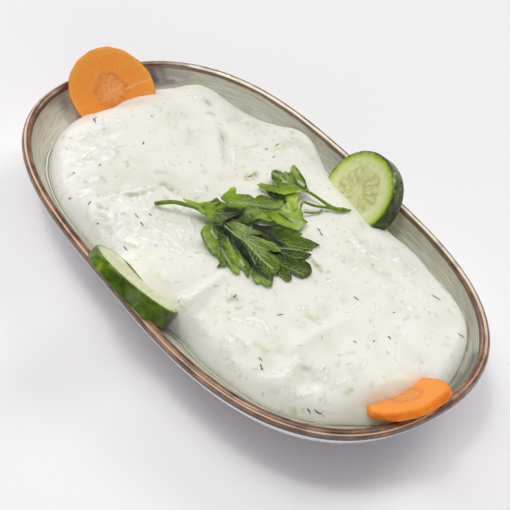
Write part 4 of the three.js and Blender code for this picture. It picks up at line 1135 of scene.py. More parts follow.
# Each leaflet: outline as (pixel x, pixel y, lift in mm, tone), going once round it,
# inner points of the same kind, and ribs as lines of pixels.
# Tone is partly the leaflet's own lightness and partly painted light and shade; tones near zero mark painted shade in
# folds.
LARGE_LEAFLETS = {
    "middle": dict(
        outline=[
            (218, 211, 2.9, .3), (224, 207.5, 3, .35), (234, 205.5, 2.2, .35), (246, 207, 1.6, .35),
            (256, 210, 1.2, .35), (262, 215, 1, .4), (258, 221, .9, .45), (250, 224.5, 1.3, .4),
            (240, 223.5, 2.3, .35), (231, 222.5, 2.8, .35), (222, 222, 3, .3)],
        inner=[(238, 214, 2.2, .3)],
        ribs=[[(220, 214), (238, 215), (258, 217)]]),
    "under_right": dict(
        outline=[
            (252, 225, 1.5, .1), (265, 227, 1.5, .15), (278, 228, 1.3, .3), (288.6, 230.7, 1.2, .4),
            (296, 232.5, .8, .4), (302.1, 234.6, .5, .45), (300, 237.5, .4, .4), (306, 239.5, .4, .45),
            (311, 241.5, .3, .4), (319.8, 246.4, .2, .4), (314, 247.6, .1, .4), (312, 250.5, .1, .45),
            (305, 250, .4, .4), (301, 251, .6, .35), (306, 252.5, .5, .2), (311.3, 255.7, .4, .2),
            (306, 258.9, .3, .25), (299.5, 260.2, .5, .3), (304.3, 261.4, .5, .3), (309.3, 265, .4, .3),
            (311.8, 271.4, .3, .3), (309.3, 276.4, .2, .3), (302.1, 278.4, .2, .3), (296.4, 276.4, .3, .3),
            (290.5, 272.2, .6, .3), (291.6, 278.6, .3, .35), (290, 281.9, .2, .4), (285.7, 280.9, .2, .4),
            (280.7, 277.1, .3, .35), (275, 272, .8, .2), (262, 262, 1.2, .05), (252, 246, 1.6, .05)],
        inner=[(280, 240, 1.6, .25), (283, 256, 1.2, .2), (297, 268, .9, .3), (299, 243, 1.2, .4)],
        ribs=[[(256, 229), (280, 240), (302, 245), (317, 246)], [(262, 240), (285, 252), (308, 255)],
              [(262, 246), (282, 262), (305, 272)], [(264, 252), (278, 268), (288, 279)]]),
    "top": dict(
        outline=[
            (220.5, 199, 2.6, .5), (226, 193.5, 3, .6), (231, 188.6, 3.4, .7), (234, 187.8, 3.4, .75),
            (236.3, 190, 3.2, .7), (236, 194.4, 3, .6), (243, 195.2, 2.8, .5), (249, 195.8, 2.6, .45),
            (254.5, 198.4, 2.4, .45), (258, 196.2, 2.4, .4), (264.3, 196.4, 2.2, .4), (270, 199, 2, .4),
            (275, 201.8, 1.8, .4), (279, 199.6, 2, .55), (283.4, 200.2, 2.2, .6), (283, 204.5, 2.2, .6),
            (279.5, 208.8, 2.2, .55), (283, 213, 2.2, .5), (281, 218, 2.2, .5), (274.5, 222, 2, .55),
            (266, 221.5, 1.8, .6), (259, 219.6, 1.8, .6), (252, 222.6, 1.6, .4), (246.5, 219, 1.8, .4),
            (242.5, 214, 2.2, .45), (241, 209.6, 2.6, .55), (232, 206.5, 3, .5)],
        inner=[(250, 204, 3, .45), (262, 209, 2.6, .4), (240, 203, 3.4, .5)],
        ribs=[[(228, 202), (243, 203.5), (258, 206), (274, 212), (281, 216)],
              [(240, 203), (250, 199.5), (257, 197.5)], [(248, 204), (262, 202), (272, 201)],
              [(252, 206), (262, 213), (270, 220)], [(243, 204), (248, 213), (251, 220)]]),
    "right_bright": dict(
        outline=[
            (270, 212, 2.8, .45), (277, 210.5, 3, .5), (283, 208, 3, .7), (287, 203, 3.4, .8),
            (290.5, 204.5, 3.4, .8), (292, 210, 3.2, .75), (296.5, 211, 3.2, .7), (300.9, 207.2, 3.6, .75),
            (301.8, 213, 3, .65), (304, 219.4, 2, .6), (307.8, 222.8, 1.2, .6), (304, 225.8, 1.4, .7),
            (301.2, 229, 1.4, .75), (298.4, 231.6, 1.3, .75), (293.6, 230.4, 1.6, .7), (288.5, 228.6, 1.8, .65),
            (283, 226.6, 2, .65), (277.5, 224.4, 2.2, .7), (272.5, 220.5, 2.4, .6), (268, 216, 2.6, .5)],
        inner=[(285, 217, 3.2, .55), (296, 221, 2.6, .6)],
        ribs=[[(272, 214), (282, 214.5), (292, 222), (300, 228)], [(279, 213.5), (292, 214), (301, 218), (306, 222)],
              [(282, 213), (288, 208), (290, 205)]]),
    "centre": dict(
        outline=[
            (221.5, 226, 4, .3), (229, 222, 4, .4), (238, 223.6, 3.8, .45), (246.5, 226.8, 3.6, .5),
            (258.6, 231.2, 3, .5), (264.6, 235, 2.6, .5), (258, 236, 2.9, .45), (252.5, 235.4, 3.3, .4),
            (258, 237, 3.2, .45), (264.3, 239.3, 3, .5), (270.7, 241.4, 2.8, .5), (276, 244.6, 2.6, .5),
            (279.6, 248.2, 2.3, .5), (280.9, 252, 2, .5), (276, 253.2, 2.2, .45), (269.5, 251.6, 2.6, .4),
            (274.5, 255.5, 2.4, .45), (279, 260.5, 2, .45), (281.3, 264, 1.8, .45), (279.6, 270.5, 1.4, .4),
            (275.4, 273.8, 1.2, .4), (273.4, 274.6, 1.2, .35), (272.8, 281, .8, .4), (271.2, 287.3, .5, .5),
            (265.8, 286.4, .5, .55), (260.4, 282.8, .6, .6), (257, 284.4, .5, .6), (253, 280.8, .6, .6),
            (251, 275.4, .9, .5), (252, 268, 1.2, .3), (243, 256, 2, .1), (233, 243, 3, .05), (225, 233, 3.6, .05)],
        inner=[(239, 237, 4.2, .45), (251.5, 249.5, 3.8, .45), (262, 260, 3, .4), (268, 268, 2.2, .4),
               (248, 260, 2.2, .02), (256, 268, 1.6, .02), (240, 249, 2.8, .02)],
        ribs=[[(225, 226.5), (239.5, 237), (251.5, 249.3), (261, 259.5), (270, 267.3), (275, 272)],
              [(236, 234), (248, 230.5), (262, 234)], [(243, 241), (260, 243), (277, 250)],
              [(252, 250), (266, 254), (279, 263)], [(252, 258), (259, 270), (267, 284)]]),
    "left_curled": dict(
        outline=[
            (220, 226.5, 3.4, .3), (212, 226, 4, .5), (205, 227, 4, .55), (201.5, 230.4, 3.8, .6),
            (200.4, 234.5, 3.4, .6), (202.9, 241.4, 2.4, .55), (206.4, 246.6, 1.8, .55), (210.7, 252.1, 1.2, .5),
            (215.6, 255.8, .8, .5), (219.3, 260.7, .6, .4), (219, 264.6, .4, .35), (216.2, 267.9, .3, .35),
            (221.5, 267.3, .3, .4), (227.2, 265.8, .4, .5), (230.8, 270, .3, .55), (234.3, 273.6, .2, .6),
            (238.8, 275.2, .2, .65), (239.6, 271, .4, .65), (239, 266.6, .6, .5), (244, 272, .3, .5),
            (247, 277.6, .2, .55), (249.3, 276.6, .3, .5), (250.2, 270, .7, .45), (249, 262, 1.2, .4),
            (241, 251, 2, .3), (231, 239, 3, .25), (225, 231, 3.4, .25)],
        inner=[(209, 236, 4, .62), (214, 246, 2.8, .6), (218.6, 238.6, 2, .3), (222, 250.7, 1.6, .25),
               (227, 246, 3.2, .6), (235, 258, 2, .6), (232, 263.6, .9, .4)],
        ribs=[[(214, 229), (221, 247), (231, 262), (238, 273)], [(212, 230), (208, 240), (213, 252)],
              [(221, 232), (231, 248), (240, 262), (247, 275)], [(219, 244), (219, 256), (218, 266)]]),
    "folded_left": dict(
        outline=[
            (183, 200.2, 3.8, .75), (185, 199.2, 4, .8), (191, 201.4, 4.4, .75), (200, 202.8, 4.6, .7),
            (208, 202.4, 4.8, .65), (216.6, 198.8, 5.2, .45), (222, 203, 5, .55), (230, 204.6, 4.8, .65),
            (240, 204.6, 4.4, .65), (247.8, 205.6, 4, .65), (245.6, 208.2, 4, .6), (241.8, 209.8, 3.8, .5),
            (242.6, 213.4, 3.4, .1), (238.5, 216.4, 3.4, .1), (231, 219, 3.6, .3), (224.4, 223.2, 3.6, .4),
            (217, 225.2, 3.6, .4), (210.4, 223, 3.7, .5), (206.6, 217.6, 3.8, .6), (202.4, 215.2, 3.8, .65),
            (196, 211.4, 3.8, .7), (190, 206.8, 3.8, .75)],
        inner=[(207, 212.5, 5, .6), (216, 208, 5.6, .5), (224, 206, 5.6, .5), (232, 211, 4.2, .02),
               (226, 214, 4.4, .08), (218, 218, 4.4, .3), (204, 207, 5, .35)],
        ribs=[[(186, 202.5), (197, 206.5), (206, 213.5), (216, 207.5), (232, 206), (245, 206.5)],
              [(190, 203.5), (204, 206.5), (216, 201)], [(206, 214), (218, 219), (236, 216)]]),
}
SMALL_LEAFLETS = {
    "under_spike": dict(
        outline=[
            (266, 192, 1.2, .2), (272.9, 192.4, 1.4, .15), (281, 194.5, 1.8, .3), (287, 194.6, 2.4, .8),
            (296, 193.8, 2.6, .85), (299, 196.4, 2, .85), (297, 201, 2, .8), (298, 206, 2.2, .75),
            (297.6, 209.6, 2.2, .7), (292.9, 211.6, 2, .7), (288.5, 206.5, 2, .75), (286.5, 202, 1.8, .7),
            (282, 200.6, 1.2, .4), (275.7, 199.4, .9, .15), (270, 195.4, .9, .15)],
        inner=[(290, 199, 2.6, .85)],
        ribs=[[(298, 195), (284, 196.5), (268, 193)], [(296, 196), (293, 202), (294, 209)]]),
    "small_main": dict(
        outline=[
            (308.6, 191.4, 3.2, .6), (306.6, 186.4, 3.2, .55), (305.2, 181.4, 3.2, .45), (302.1, 176.4, 3.2, .5),
            (298.6, 170.9, 3.2, .6), (294.3, 165.4, 3.2, .6), (290.7, 167.9, 3.2, .65), (290, 173, 3.2, .55),
            (285, 171.9, 2.8, .45), (284.3, 174.6, 2.8, .45), (281.4, 172.1, 2.6, .5), (277.1, 170.9, 2.4, .5),
            (272.7, 171.2, 2.2, .5), (271.2, 174.6, 2.2, .45), (271.2, 178.6, 2.2, .45), (272.6, 181.2, 2.2, .5),
            (276.5, 184, 2.4, .5), (279.5, 187.2, 2.4, .5), (273, 186, 2, .5), (267.9, 185.4, 1.7, .55),
            (262.1, 184.3, 1.4, .6), (256.9, 185.2, 1, .65), (260.7, 188.8, 1.2, .6), (266, 190.8, 1.6, .55),
            (272, 192, 2, .55), (278, 194.2, 2.6, .6), (284.3, 195.8, 3, .75), (291, 194, 3, .7),
            (296.4, 193.8, 3, .6), (302, 193.4, 3.2, .6)],
        inner=[(293, 181, 3.8, .45), (284, 183, 3.4, .45), (290, 189, 3.6, .5), (297, 175, 3.6, .6)],
        ribs=[[(308.6, 191.4), (296, 188), (282, 189.5), (259, 186)], [(302, 189.5), (290, 182), (276, 174)],
              [(304, 187), (298, 177), (294, 167)], [(300, 188), (291, 178), (287, 173)]]),
}
# Stems: points as (pixel x, pixel y, lift in mm), and radii along them.
LARGE_STEMS = [
    ([(156, 203.6, .6), (160, 203, 2), (166, 202.2, 3), (172, 202, 3.6), (178, 202.7, 4), (184, 204.2, 4.2),
      (191, 206.2, 4.4), (198, 208.6, 4.6)],
     [.85, .85, .85, .8, .8, .8, .75, .5]),
]
SMALL_STEMS = [
    ([(350.5, 210.6, .5), (343, 209.8, .7), (333.6, 208.3, 1), (322, 200.8, 1.8), (311.5, 193.6, 2.8),
      (304, 190, 3.4)],
     [.4, .9, .8, .55, .55, .45]),
    ([(338, 209.6, .6), (330, 208, .9), (322.9, 207, 1.4), (314.3, 205.7, 2.2), (306, 202.6, 3), (303.4, 202.2, 3.2),
      (301.6, 204, 3.2), (300.4, 208.4, 3.2)],
     [.7, .6, .5, .5, .5, .5, .5, .45]),
    ([(322, 209.4, .4), (319, 212.4, .4), (312, 213, .6), (304, 212.2, 1.4)],
     [.3, .35, .35, .3]),
]
# Painted on the leaves where the photograph shows them: (pixel line, half width, strength).
LEAF_STROKES = {
    # Painted shade in folds and under overlapping leaflets.
    "dark": [
        ([(218.6, 239.3), (220.4, 245.7), (224.3, 255), (226.8, 262.9)], 1, 0.9),
        ([(214.3, 224.3), (222.9, 231.4), (232.1, 241.4), (239.3, 248.6), (249.3, 260), (258.6, 271.4),
          (267, 278)], 2.9, 0.95),
        ([(227.1, 209.3), (234, 211), (241.4, 212.9)], 3.4, 0.9), ([(224.3, 220.7), (235.7, 217.1)], 1.6, 0.5),
        ([(221.4, 224.6), (232.1, 220), (239.3, 218.6)], 0.9, 0.8),
        ([(212.1, 202.1), (218.6, 200), (222.1, 202.1), (216.4, 205.7)], 0.9, 0.8),
        ([(250.7, 223.6), (264.3, 231.4), (275.7, 240.7), (281.4, 245.7)], 3.2, 0.95),
        ([(250.7, 235), (260.7, 237.1), (270, 240.7)], 1.2, 0.95),
        ([(268.6, 251.4), (272.9, 253.6), (280, 252.9)], 1.3, 0.9), ([(280, 247.9), (290.7, 252.9)], 2.6, 0.6),
        ([(298.6, 260), (305, 259.3), (311.4, 255)], 1, 0.8),
        ([(290.7, 274.3), (295.7, 277.9), (305, 277.9)], 0.8, 0.5),
        ([(255, 205.7), (260, 207.9), (270, 209.3), (279.3, 209.3)], 0.9, 0.8),
        ([(249.3, 214.3), (252.9, 216.4)], 0.8, 0.8), ([(279.3, 213.6), (287.1, 219.3), (292.1, 222.1)], 0.8, 0.95),
        ([(266.4, 192.1), (274.3, 197.1), (283.6, 199.3)], 2.2, 0.95),
        ([(296.4, 169.3), (304.3, 180.7), (306.4, 187.1)], 0.9, 0.8), ([(295.7, 180.7), (301.4, 186.4)], 1.1, 0.9),
        ([(285, 172.9), (288.6, 175), (291.4, 173.6)], 0.8, 0.8),
        ([(272.1, 177.9), (280, 180), (287.1, 182.9)], 0.9, 0.6), ([(284.3, 200), (287.1, 210)], 0.9, 0.6),
        ([(276.4, 171.6), (281, 175.5), (285.7, 178.6)], 0.8, 0.8), ([(274, 175), (278, 178.5)], 0.7, 0.7),
        ([(270.5, 184.5), (275, 186.5), (279.5, 188.3)], 1.1, 0.5),
        ([(291, 173), (294.5, 178.5), (296, 183)], 0.9, 0.7), ([(296, 183.5), (302, 187.5), (305, 188)], 1.6, 0.8),
        ([(260, 186.4), (268, 188), (275, 189.5)], 0.7, 0.5),
        ([(292.9, 211.4), (297.1, 209.3), (301.4, 204.3)], 0.8, 0.7), ([(301.4, 219.3), (305.7, 221.4)], 0.8, 0.7),
        ([(249.3, 270), (243.6, 265.7)], 0.9, 0.9), ([(246.4, 277.1), (249.3, 274.3)], 0.8, 0.7),
        ([(251.4, 273.6), (257.1, 284.3)], 0.8, 0.5), ([(272.1, 274.3), (270, 287)], 0.8, 0.5),
        ([(200.4, 232), (203, 242), (210, 252)], 1.2, 0.45), ([(216, 256), (219, 262), (217, 267)], 1.6, 0.6),
    ],
    # Pale veins, and painted glints.
    "light": [
        ([(225, 226), (236.4, 235.7), (242.9, 239.3), (251.4, 247.9), (262.1, 260), (272.9, 268.6)], 0.55, 0.8),
        ([(237.1, 222.1), (251.4, 227.9)], 0.6, 0.6),
        ([(251.4, 235.7), (264.3, 240.7), (274.3, 244.3), (280, 250.7)], 0.55, 0.5),
        ([(221.4, 248.6), (225.7, 257.9), (232.1, 265.7), (237.9, 272.1)], 0.8, 0.55),
        ([(227.1, 235.7), (229.3, 244.3), (232.1, 252.9), (235.7, 261.4)], 0.6, 0.5),
        ([(211.4, 230.7), (213.6, 234), (215.7, 237.9)], 1.1, 0.85), ([(240, 260), (243.6, 265.7)], 0.8, 1),
        ([(184.3, 200.7), (190, 204.3), (200, 207.1), (204.3, 212.9)], 0.6, 0.4),
        ([(285.7, 210), (289.3, 211.4)], 0.8, 1), ([(277.9, 227.1), (284.3, 227.1)], 0.7, 0.8),
        ([(272.1, 172.9), (281.4, 175.7)], 0.7, 0.45), ([(280, 175.7), (284.3, 181.4)], 0.7, 0.6),
        ([(282.9, 181.4), (287.1, 182.1)], 0.9, 0.9), ([(296.4, 192.1), (300.7, 190.7)], 0.8, 0.8),
        ([(291.4, 168.6), (298.6, 172.9)], 1.2, 0.4), ([(298.6, 181.2), (301, 183.2), (303.2, 185)], 1.4, 1),
        ([(273, 173), (277, 176.5)], 0.7, 0.6), ([(285.5, 172.5), (288, 177)], 0.7, 0.6),
        ([(280, 247.9), (301.4, 250), (308.6, 252.9)], 0.6, 0.5), ([(251.4, 277.1), (262.1, 284.3)], 0.9, 0.4),
        ([(263.6, 277.9), (270, 282.9)], 0.8, 0.35), ([(230, 202.1), (244.3, 202.9), (258.6, 205.7)], 1, 0.45),
        ([(290.7, 219.3), (301.4, 222.9), (297.1, 228.6)], 1.8, 0.45),
        ([(235.7, 227), (241, 229), (246, 233)], 0.5, 0.5), ([(233, 231), (241, 236)], 0.5, 0.5),
        ([(247, 240), (256, 246)], 0.5, 0.5), ([(254, 254), (262, 255), (268, 258)], 0.5, 0.4),
        ([(258, 246), (268, 250)], 0.5, 0.4), ([(249, 251), (255, 264)], 0.5, 0.3),
        ([(204, 232), (208, 243), (215, 252)], 0.8, 0.35), ([(232, 240), (238, 250), (243, 262)], 0.6, 0.3),
    ],
    # Painted light on lit ridges and where light shines through the blade.
    "bright": [
        ([(205.7, 215), (214.3, 209.3), (222.1, 206.4)], 1.3, 0.8),
        ([(225, 206.4), (235.7, 205.7), (246.4, 205.7)], 1.4, 0.9), ([(186, 201.5), (198, 204), (212, 206)], 1.6, 0.6),
        ([(203, 213), (208, 219)], 1.4, 0.6), ([(230, 196), (234, 191), (236, 193)], 2, 0.5),
        ([(260, 220), (270, 220), (275.7, 221.4)], 1.3, 0.9),
        ([(274.3, 220.7), (286, 226.5), (294.3, 228.6), (300.7, 230.7)], 1.5, 0.7),
        ([(284.3, 195.7), (295.7, 195.7)], 2.4, 1),
        ([(257.9, 185.7), (265.7, 188.6), (275.7, 190), (294.3, 190), (307.1, 190.7)], 1.1, 0.5),
        ([(300, 209), (302.5, 216)], 1.4, 0.7), ([(292, 203), (293, 209)], 2.2, 0.6),
        ([(234, 272), (239, 275)], 2, 0.7), ([(228, 243), (231, 254)], 1.6, 0.5), ([(272, 284), (262, 282)], 1.6, 0.4),
        ([(279, 205), (283, 201)], 1.4, 0.6), ([(286, 240), (291, 247)], 2.6, 0.35),
        ([(296, 234), (302, 237)], 1.5, 0.4),
    ],
    # Painted sheen, a grey-green reflection on the blade.
    "sheen": [
        ([(236, 224), (246, 229), (252, 232)], 3.4, 0.7), ([(240, 232), (250, 240), (262, 252)], 3.6, 0.55),
        ([(262, 206), (280, 206)], 3, 0.5), ([(282, 175), (290, 182)], 3, 0.45), ([(288, 219), (300, 225)], 3.2, 0.5),
        ([(214, 218), (226, 217)], 3.4, 0.35), ([(204, 236), (212, 250)], 3.2, 0.45),
        ([(243, 212), (256, 211)], 2.6, 0.45), ([(296, 270), (306, 271)], 5, 0.2),
        ([(268, 280), (258, 279)], 2.6, 0.25), ([(290, 172), (296, 170)], 2.2, 0.4),
    ],
}


def side_veins(line):
    """Short veins that leave a rib slantwise on both sides."""
    fine = smooth_line(line, 12)
    lengths = run_lengths(fine)
    veins = []
    place, side = SIDE_VEIN_STEP, 1
    while place < lengths[-1] - 0.8:
        x, ahead_x = np.interp([place, place + 0.5], lengths, fine[:, 0])
        y, ahead_y = np.interp([place, place + 0.5], lengths, fine[:, 1])
        heading = math.atan2(ahead_y - y, ahead_x - x) + side * SIDE_VEIN_SLANT
        veins.append([(x, y), (x + SIDE_VEIN_LENGTH * math.cos(heading), y + SIDE_VEIN_LENGTH * math.sin(heading))])
        place += SIDE_VEIN_STEP / 2
        side = -side
    return veins


def inside_outline(points, outline):
    inside = np.zeros(len(points), bool)
    for (ax, ay), (bx, by) in zip(outline, np.roll(outline, -1, axis=0)):
        crosses = (ay > points[:, 1]) != (by > points[:, 1])
        with np.errstate(divide="ignore", invalid="ignore"):
            at = ax + (points[:, 1] - ay) * (bx - ax) / (by - ay)
        inside ^= crosses & (points[:, 0] < at)
    return inside


def leaf_outline(ring, seed):
    """An outline through these points, half rounded and half straight, and slightly uneven."""
    rounded = smooth_line(np.vstack([ring[-1:], ring, ring[:2]]), OUTLINE_STEPS)[OUTLINE_STEPS:-OUTLINE_STEPS - 1]
    share = (np.arange(len(rounded)) % OUTLINE_STEPS)[:, None] / OUTLINE_STEPS
    start, end = (np.repeat(side, OUTLINE_STEPS, axis=0) for side in (ring, np.roll(ring, -1, axis=0)))
    fine = 0.5 * rounded + 0.5 * (start * (1 - share) + end * share)
    ahead = np.roll(fine, -1, axis=0) - np.roll(fine, 1, axis=0)
    ahead /= np.maximum(np.linalg.norm(ahead, axis=1)[:, None], 1e-6)
    fray = OUTLINE_FRAY * soft_noise(fine[:, 0], fine[:, 1], 1.1, seed)[:, None]
    return fine + fray * np.column_stack([ahead[:, 1], -ahead[:, 0]])


def leaf_triangles(outline):
    """Points and triangles of a fine grid inside the outline."""
    (low_x, low_y), (high_x, high_y) = outline.min(0), outline.max(0)
    grid = np.array([(x, y) for index, y in enumerate(np.arange(low_y, high_y, LEAF_GRID * LEAF_ROW))
                     for x in np.arange(low_x + (index % 2) * LEAF_GRID / 2, high_x, LEAF_GRID)])
    away = away_from(grid, [np.vstack([outline, outline[:1]])])
    grid = grid[inside_outline(grid, outline) & (away > EDGE_GAP)]
    edges = [(i, (i + 1) % len(outline)) for i in range(len(outline))]
    verts, _, faces, *_ = delaunay_2d_cdt([Vector(point) for point in np.vstack([outline, grid])], edges, [], 1, 1e-6)
    return np.array(verts), faces


def sheet_faces(plan, triangles):
    """Faces of a closed sheet: its upper side, its lower side, and a skirt between them."""
    total, upper = len(plan), []
    for face in triangles:
        (ax, ay), (bx, by), (cx, cy) = plan[face]
        clockwise = (bx - ax) * (cy - ay) - (by - ay) * (cx - ax) < 0
        upper.append(tuple(face[::-1] if clockwise else face))
    edges = dict.fromkeys(edge for face in upper for edge in zip(face, face[1:] + face[:1]))
    skirt = [(b, a, a + total, b + total) for a, b in edges if (b, a) not in edges]
    return upper + [tuple(index + total for index in face[::-1]) for face in upper] + skirt


def leaflet(spec, seed):
    """Points, faces and attributes of one leaflet lying on the yogurt."""
    controls = np.array(spec["outline"] + spec["inner"], float)
    lifts = controls[:, 2] + LEAF_CLEARANCE
    x, y, _ = pixel_to_plan(controls[:, :2], fine_map, lifts)
    outline = leaf_outline(np.column_stack([x, y])[:len(spec["outline"])], seed)
    plan, triangles = leaf_triangles(outline)
    weights = 1 / (np.hypot(plan[:, :1] - x, plan[:, 1:] - y) ** PULL_POWER + PULL_SOFTNESS)
    weights /= weights.sum(1)[:, None]
    tone = LEAF_TONE + LEAF_CONTRAST * (weights @ controls[:, 3] - MIDDLE_TONE)
    ribs = [plan_line(rib, fine_map, RIB_LIFT) for rib in spec["ribs"]]
    rib_away = away_from(plan, [smooth_line(rib, 6) for rib in ribs])
    vein_away = away_from(plan, [vein for rib in ribs for vein in side_veins(rib)])
    shape = weights @ lifts
    for (puff, reach), away in ((RIB_PUFF, rib_away), (VEIN_PUFF, vein_away)):
        shape = shape + puff * smooth_step(0, reach, away)
    for wave, size, step in LEAF_WAVES:
        shape = shape + wave * soft_noise(*plan.T, size, seed + step)
    droop, reach = EDGE_DROOP
    shape = shape + droop * np.exp(-away_from(plan, [np.vstack([outline, outline[:1]])]) / reach)
    height = fine_map(*plan.T) + np.maximum(shape, LEAST_LIFT)
    upper, lower = np.column_stack([plan, height + LEAF_SHEET]), np.column_stack([plan, height])
    attributes = {"tone": np.append(tone, tone + UNDERSIDE_PALER), "vein": np.tile(bell(rib_away, RIB_WIDTH), 2),
                  "veinlet": np.tile(bell(vein_away, VEIN_WIDTH), 2)}
    for label, strokes in LEAF_STROKES.items():
        attributes[label] = np.tile(painted(upper, strokes), 2)
    return np.vstack([upper, lower]), sheet_faces(plan, triangles), attributes


def stem(points, radii):
    controls = np.array(points, float)
    line = smooth_line(np.column_stack(pixel_to_plan(controls[:, :2], fine_map, controls[:, 2] + STEM_CLEARANCE)), 6)
    widths = np.interp(np.linspace(0, 1, len(line)), np.linspace(0, 1, len(radii)), radii)
    return (*rod(line, widths, STEM_SIDES), {})


def build_parsley():
    leaf, stalk = leaf_look(), stem_look()
    for node, leaflets, stems in (("parsley_large", LARGE_LEAFLETS, LARGE_STEMS),
                                  ("parsley_small", SMALL_LEAFLETS, SMALL_STEMS)):
        parts = [leaflet(spec, LEAFLET_SEED + 3 * index) for index, spec in enumerate(leaflets.values())]
        points, faces, attributes = join_parts(parts)
        mesh_piece(node + "_leaves", points, faces, leaf, node, attributes)
        points, faces, _ = join_parts([stem(*spec) for spec in stems])
        mesh_piece(node + "_stems", points, faces, stalk, node)


# ---- Dill and other flecks ----

# Flecks by pixel: (x, y, heading in the picture in degrees, length in pixels, darkness).
# Pale ones lie below the surface and only tint it.
DILL_FLECKS = [
    (94, 121, -60, 6, .9), (95, 119, 50, 5, .9), (151.6, 116, -30, 3, .6), (143.5, 143.4, 60, 3.4, 1),
    (161, 109.5, 60, 3, .4), (211, 113.6, -15, 8, .5), (189, 132, -70, 6, .4), (229, 120.5, 0, 3, .4),
    (266.4, 149, 20, 4, .8), (273.8, 157, 40, 4, .6), (285, 127, 10, 4, .5), (222, 138, -70, 9, .6),
    (389.3, 337.7, -50, 5, 1), (436, 297, -30, 12, .7), (461, 336, -38, 9, .7), (308, 413.5, -75, 11, .9),
    (318, 411.6, -32, 11, .9), (319, 230, -40, 5, .9), (321, 234, -60, 5, .9), (356.5, 298, -38, 7, .8),
    (329, 280, -30, 4, .5), (394, 312.6, 0, 3, .6), (371, 320, 0, 3, .4), (406.5, 318.5, 35, 5, .5),
    (355, 342, -30, 5, .6), (374, 341, 50, 3, .7), (351, 353, 10, 7, .5), (70, 198.6, 30, 3, .9),
    (89.5, 202.8, 60, 5, .9), (98, 223.7, 0, 3, .8), (74, 173, 0, 2.4, .9), (70, 176, 35, 6, .5),
    (100, 165, 45, 4, .6), (104, 180, -40, 7, .5), (119, 146.6, 0, 3, .4), (261, 366, -70, 5, 1),
    (260.6, 359, -45, 6, .7), (262, 369, 0, 3, 1), (280, 314.6, 10, 8, .6), (161, 172.5, -2, 12, .4),
    (132, 196, 0, 2, .5), (137, 216, -50, 8, .6), (142, 224, -50, 6, .9), (150, 214.5, -30, 5, .6),
    (118, 193, 40, 3, .5), (226, 359, 0, 3, .4), (232, 363, 0, 2, .4), (325, 398, -85, 12, .35),
    (304, 396, 10, 16, .4), (281, 411, 20, 5, .5), (295, 411, -80, 7, .5), (235, 296, 40, 5, .9),
    (231, 300, 10, 8, .4), (338, 364, 30, 4, .5), (88, 165, 10, 4, .4), (156, 106, -20, 5, .35),
    (239, 308, 10, 6, .4), (260, 309, -10, 8, .3), (216, 322, 60, 4, .3), (182, 308, -40, 8, .5),
    (178, 300, 40, 6, .5), (450, 312, -50, 6, .4), (447, 345, -10, 4, .3), (417, 317, 0, 3, .4),
    (436, 315, -60, 5, .35), (396, 249, -20, 6, .3), (362, 225, -60, 6, .3), (204, 172, 0, 3, .3),
    (117, 151, -50, 3, .4), (331, 413, -10, 8, .3), (372, 385, 70, 4, .5), (246, 148, 0, 3, .4),
    (277, 145, 35, 6, .6), (254, 146, 15, 9, .4), (250, 176, 20, 5, .9), (126, 248, -50, 7, .9),
    (208, 104, -60, 4, .5),
]
FLECK_SIDES = 6
FLECK_RADII = np.array([0.35, 0.9, 1, 0.85, 0.3])
FLECK_BEND = 0.16
FLECK_SHOWS = 0.9
FINE_FLECKS = 150
FINE_FLECK_INSET = 4
FINE_FLECK_WIDTH = 0.11
FINE_FLECK_SEED = 500
# The far edge of the front cucumber slice's peel, just above the yogurt, as pixels.
PEEL_EDGE = [(106, 248.5), (112, 251.7), (119, 256.7), (128, 263.7), (134, 270.7), (141, 279), (150, 289.5),
             (158, 298.5), (166, 306.5)]
PEEL_EDGE_RADII = [0.1, 0.16, 0.2, 0.24, 0.2, 0.1, 0.14, 0.16, 0.06]
PEEL_EDGE_LIFT = -0.32
PEEL_EDGE_TONE = 0.1


def fleck_ends(spec):
    """The two ends, in pixels, of a fleck in DILL_FLECKS."""
    px, py, slant, pixels, _ = spec
    half_x, half_y = (0.5 * pixels * wave(math.radians(slant)) for wave in (math.cos, math.sin))
    return [(px - half_x, py + half_y), (px + half_x, py - half_y)]


def fleck(x, y, heading, length, width, tone, seed):
    """A short bent strand half sunk in the yogurt."""
    runs = np.linspace(-0.5, 0.5, len(FLECK_RADII))
    bend = FLECK_BEND * length * (lattice(np.array([seed]), np.array([3]), 7)[0] - 0.5)
    side = bend * (1 - (2 * runs) ** 2)
    px = x + length * runs * math.cos(heading) - side * math.sin(heading)
    py = y + length * runs * math.sin(heading) + side * math.cos(heading)
    line = np.column_stack([px, py, fine_map(px, py) + 0.1 * width])
    verts, faces = rod(line, width * FLECK_RADII, FLECK_SIDES)
    return verts, faces, {"tone": np.full(len(verts), tone)}


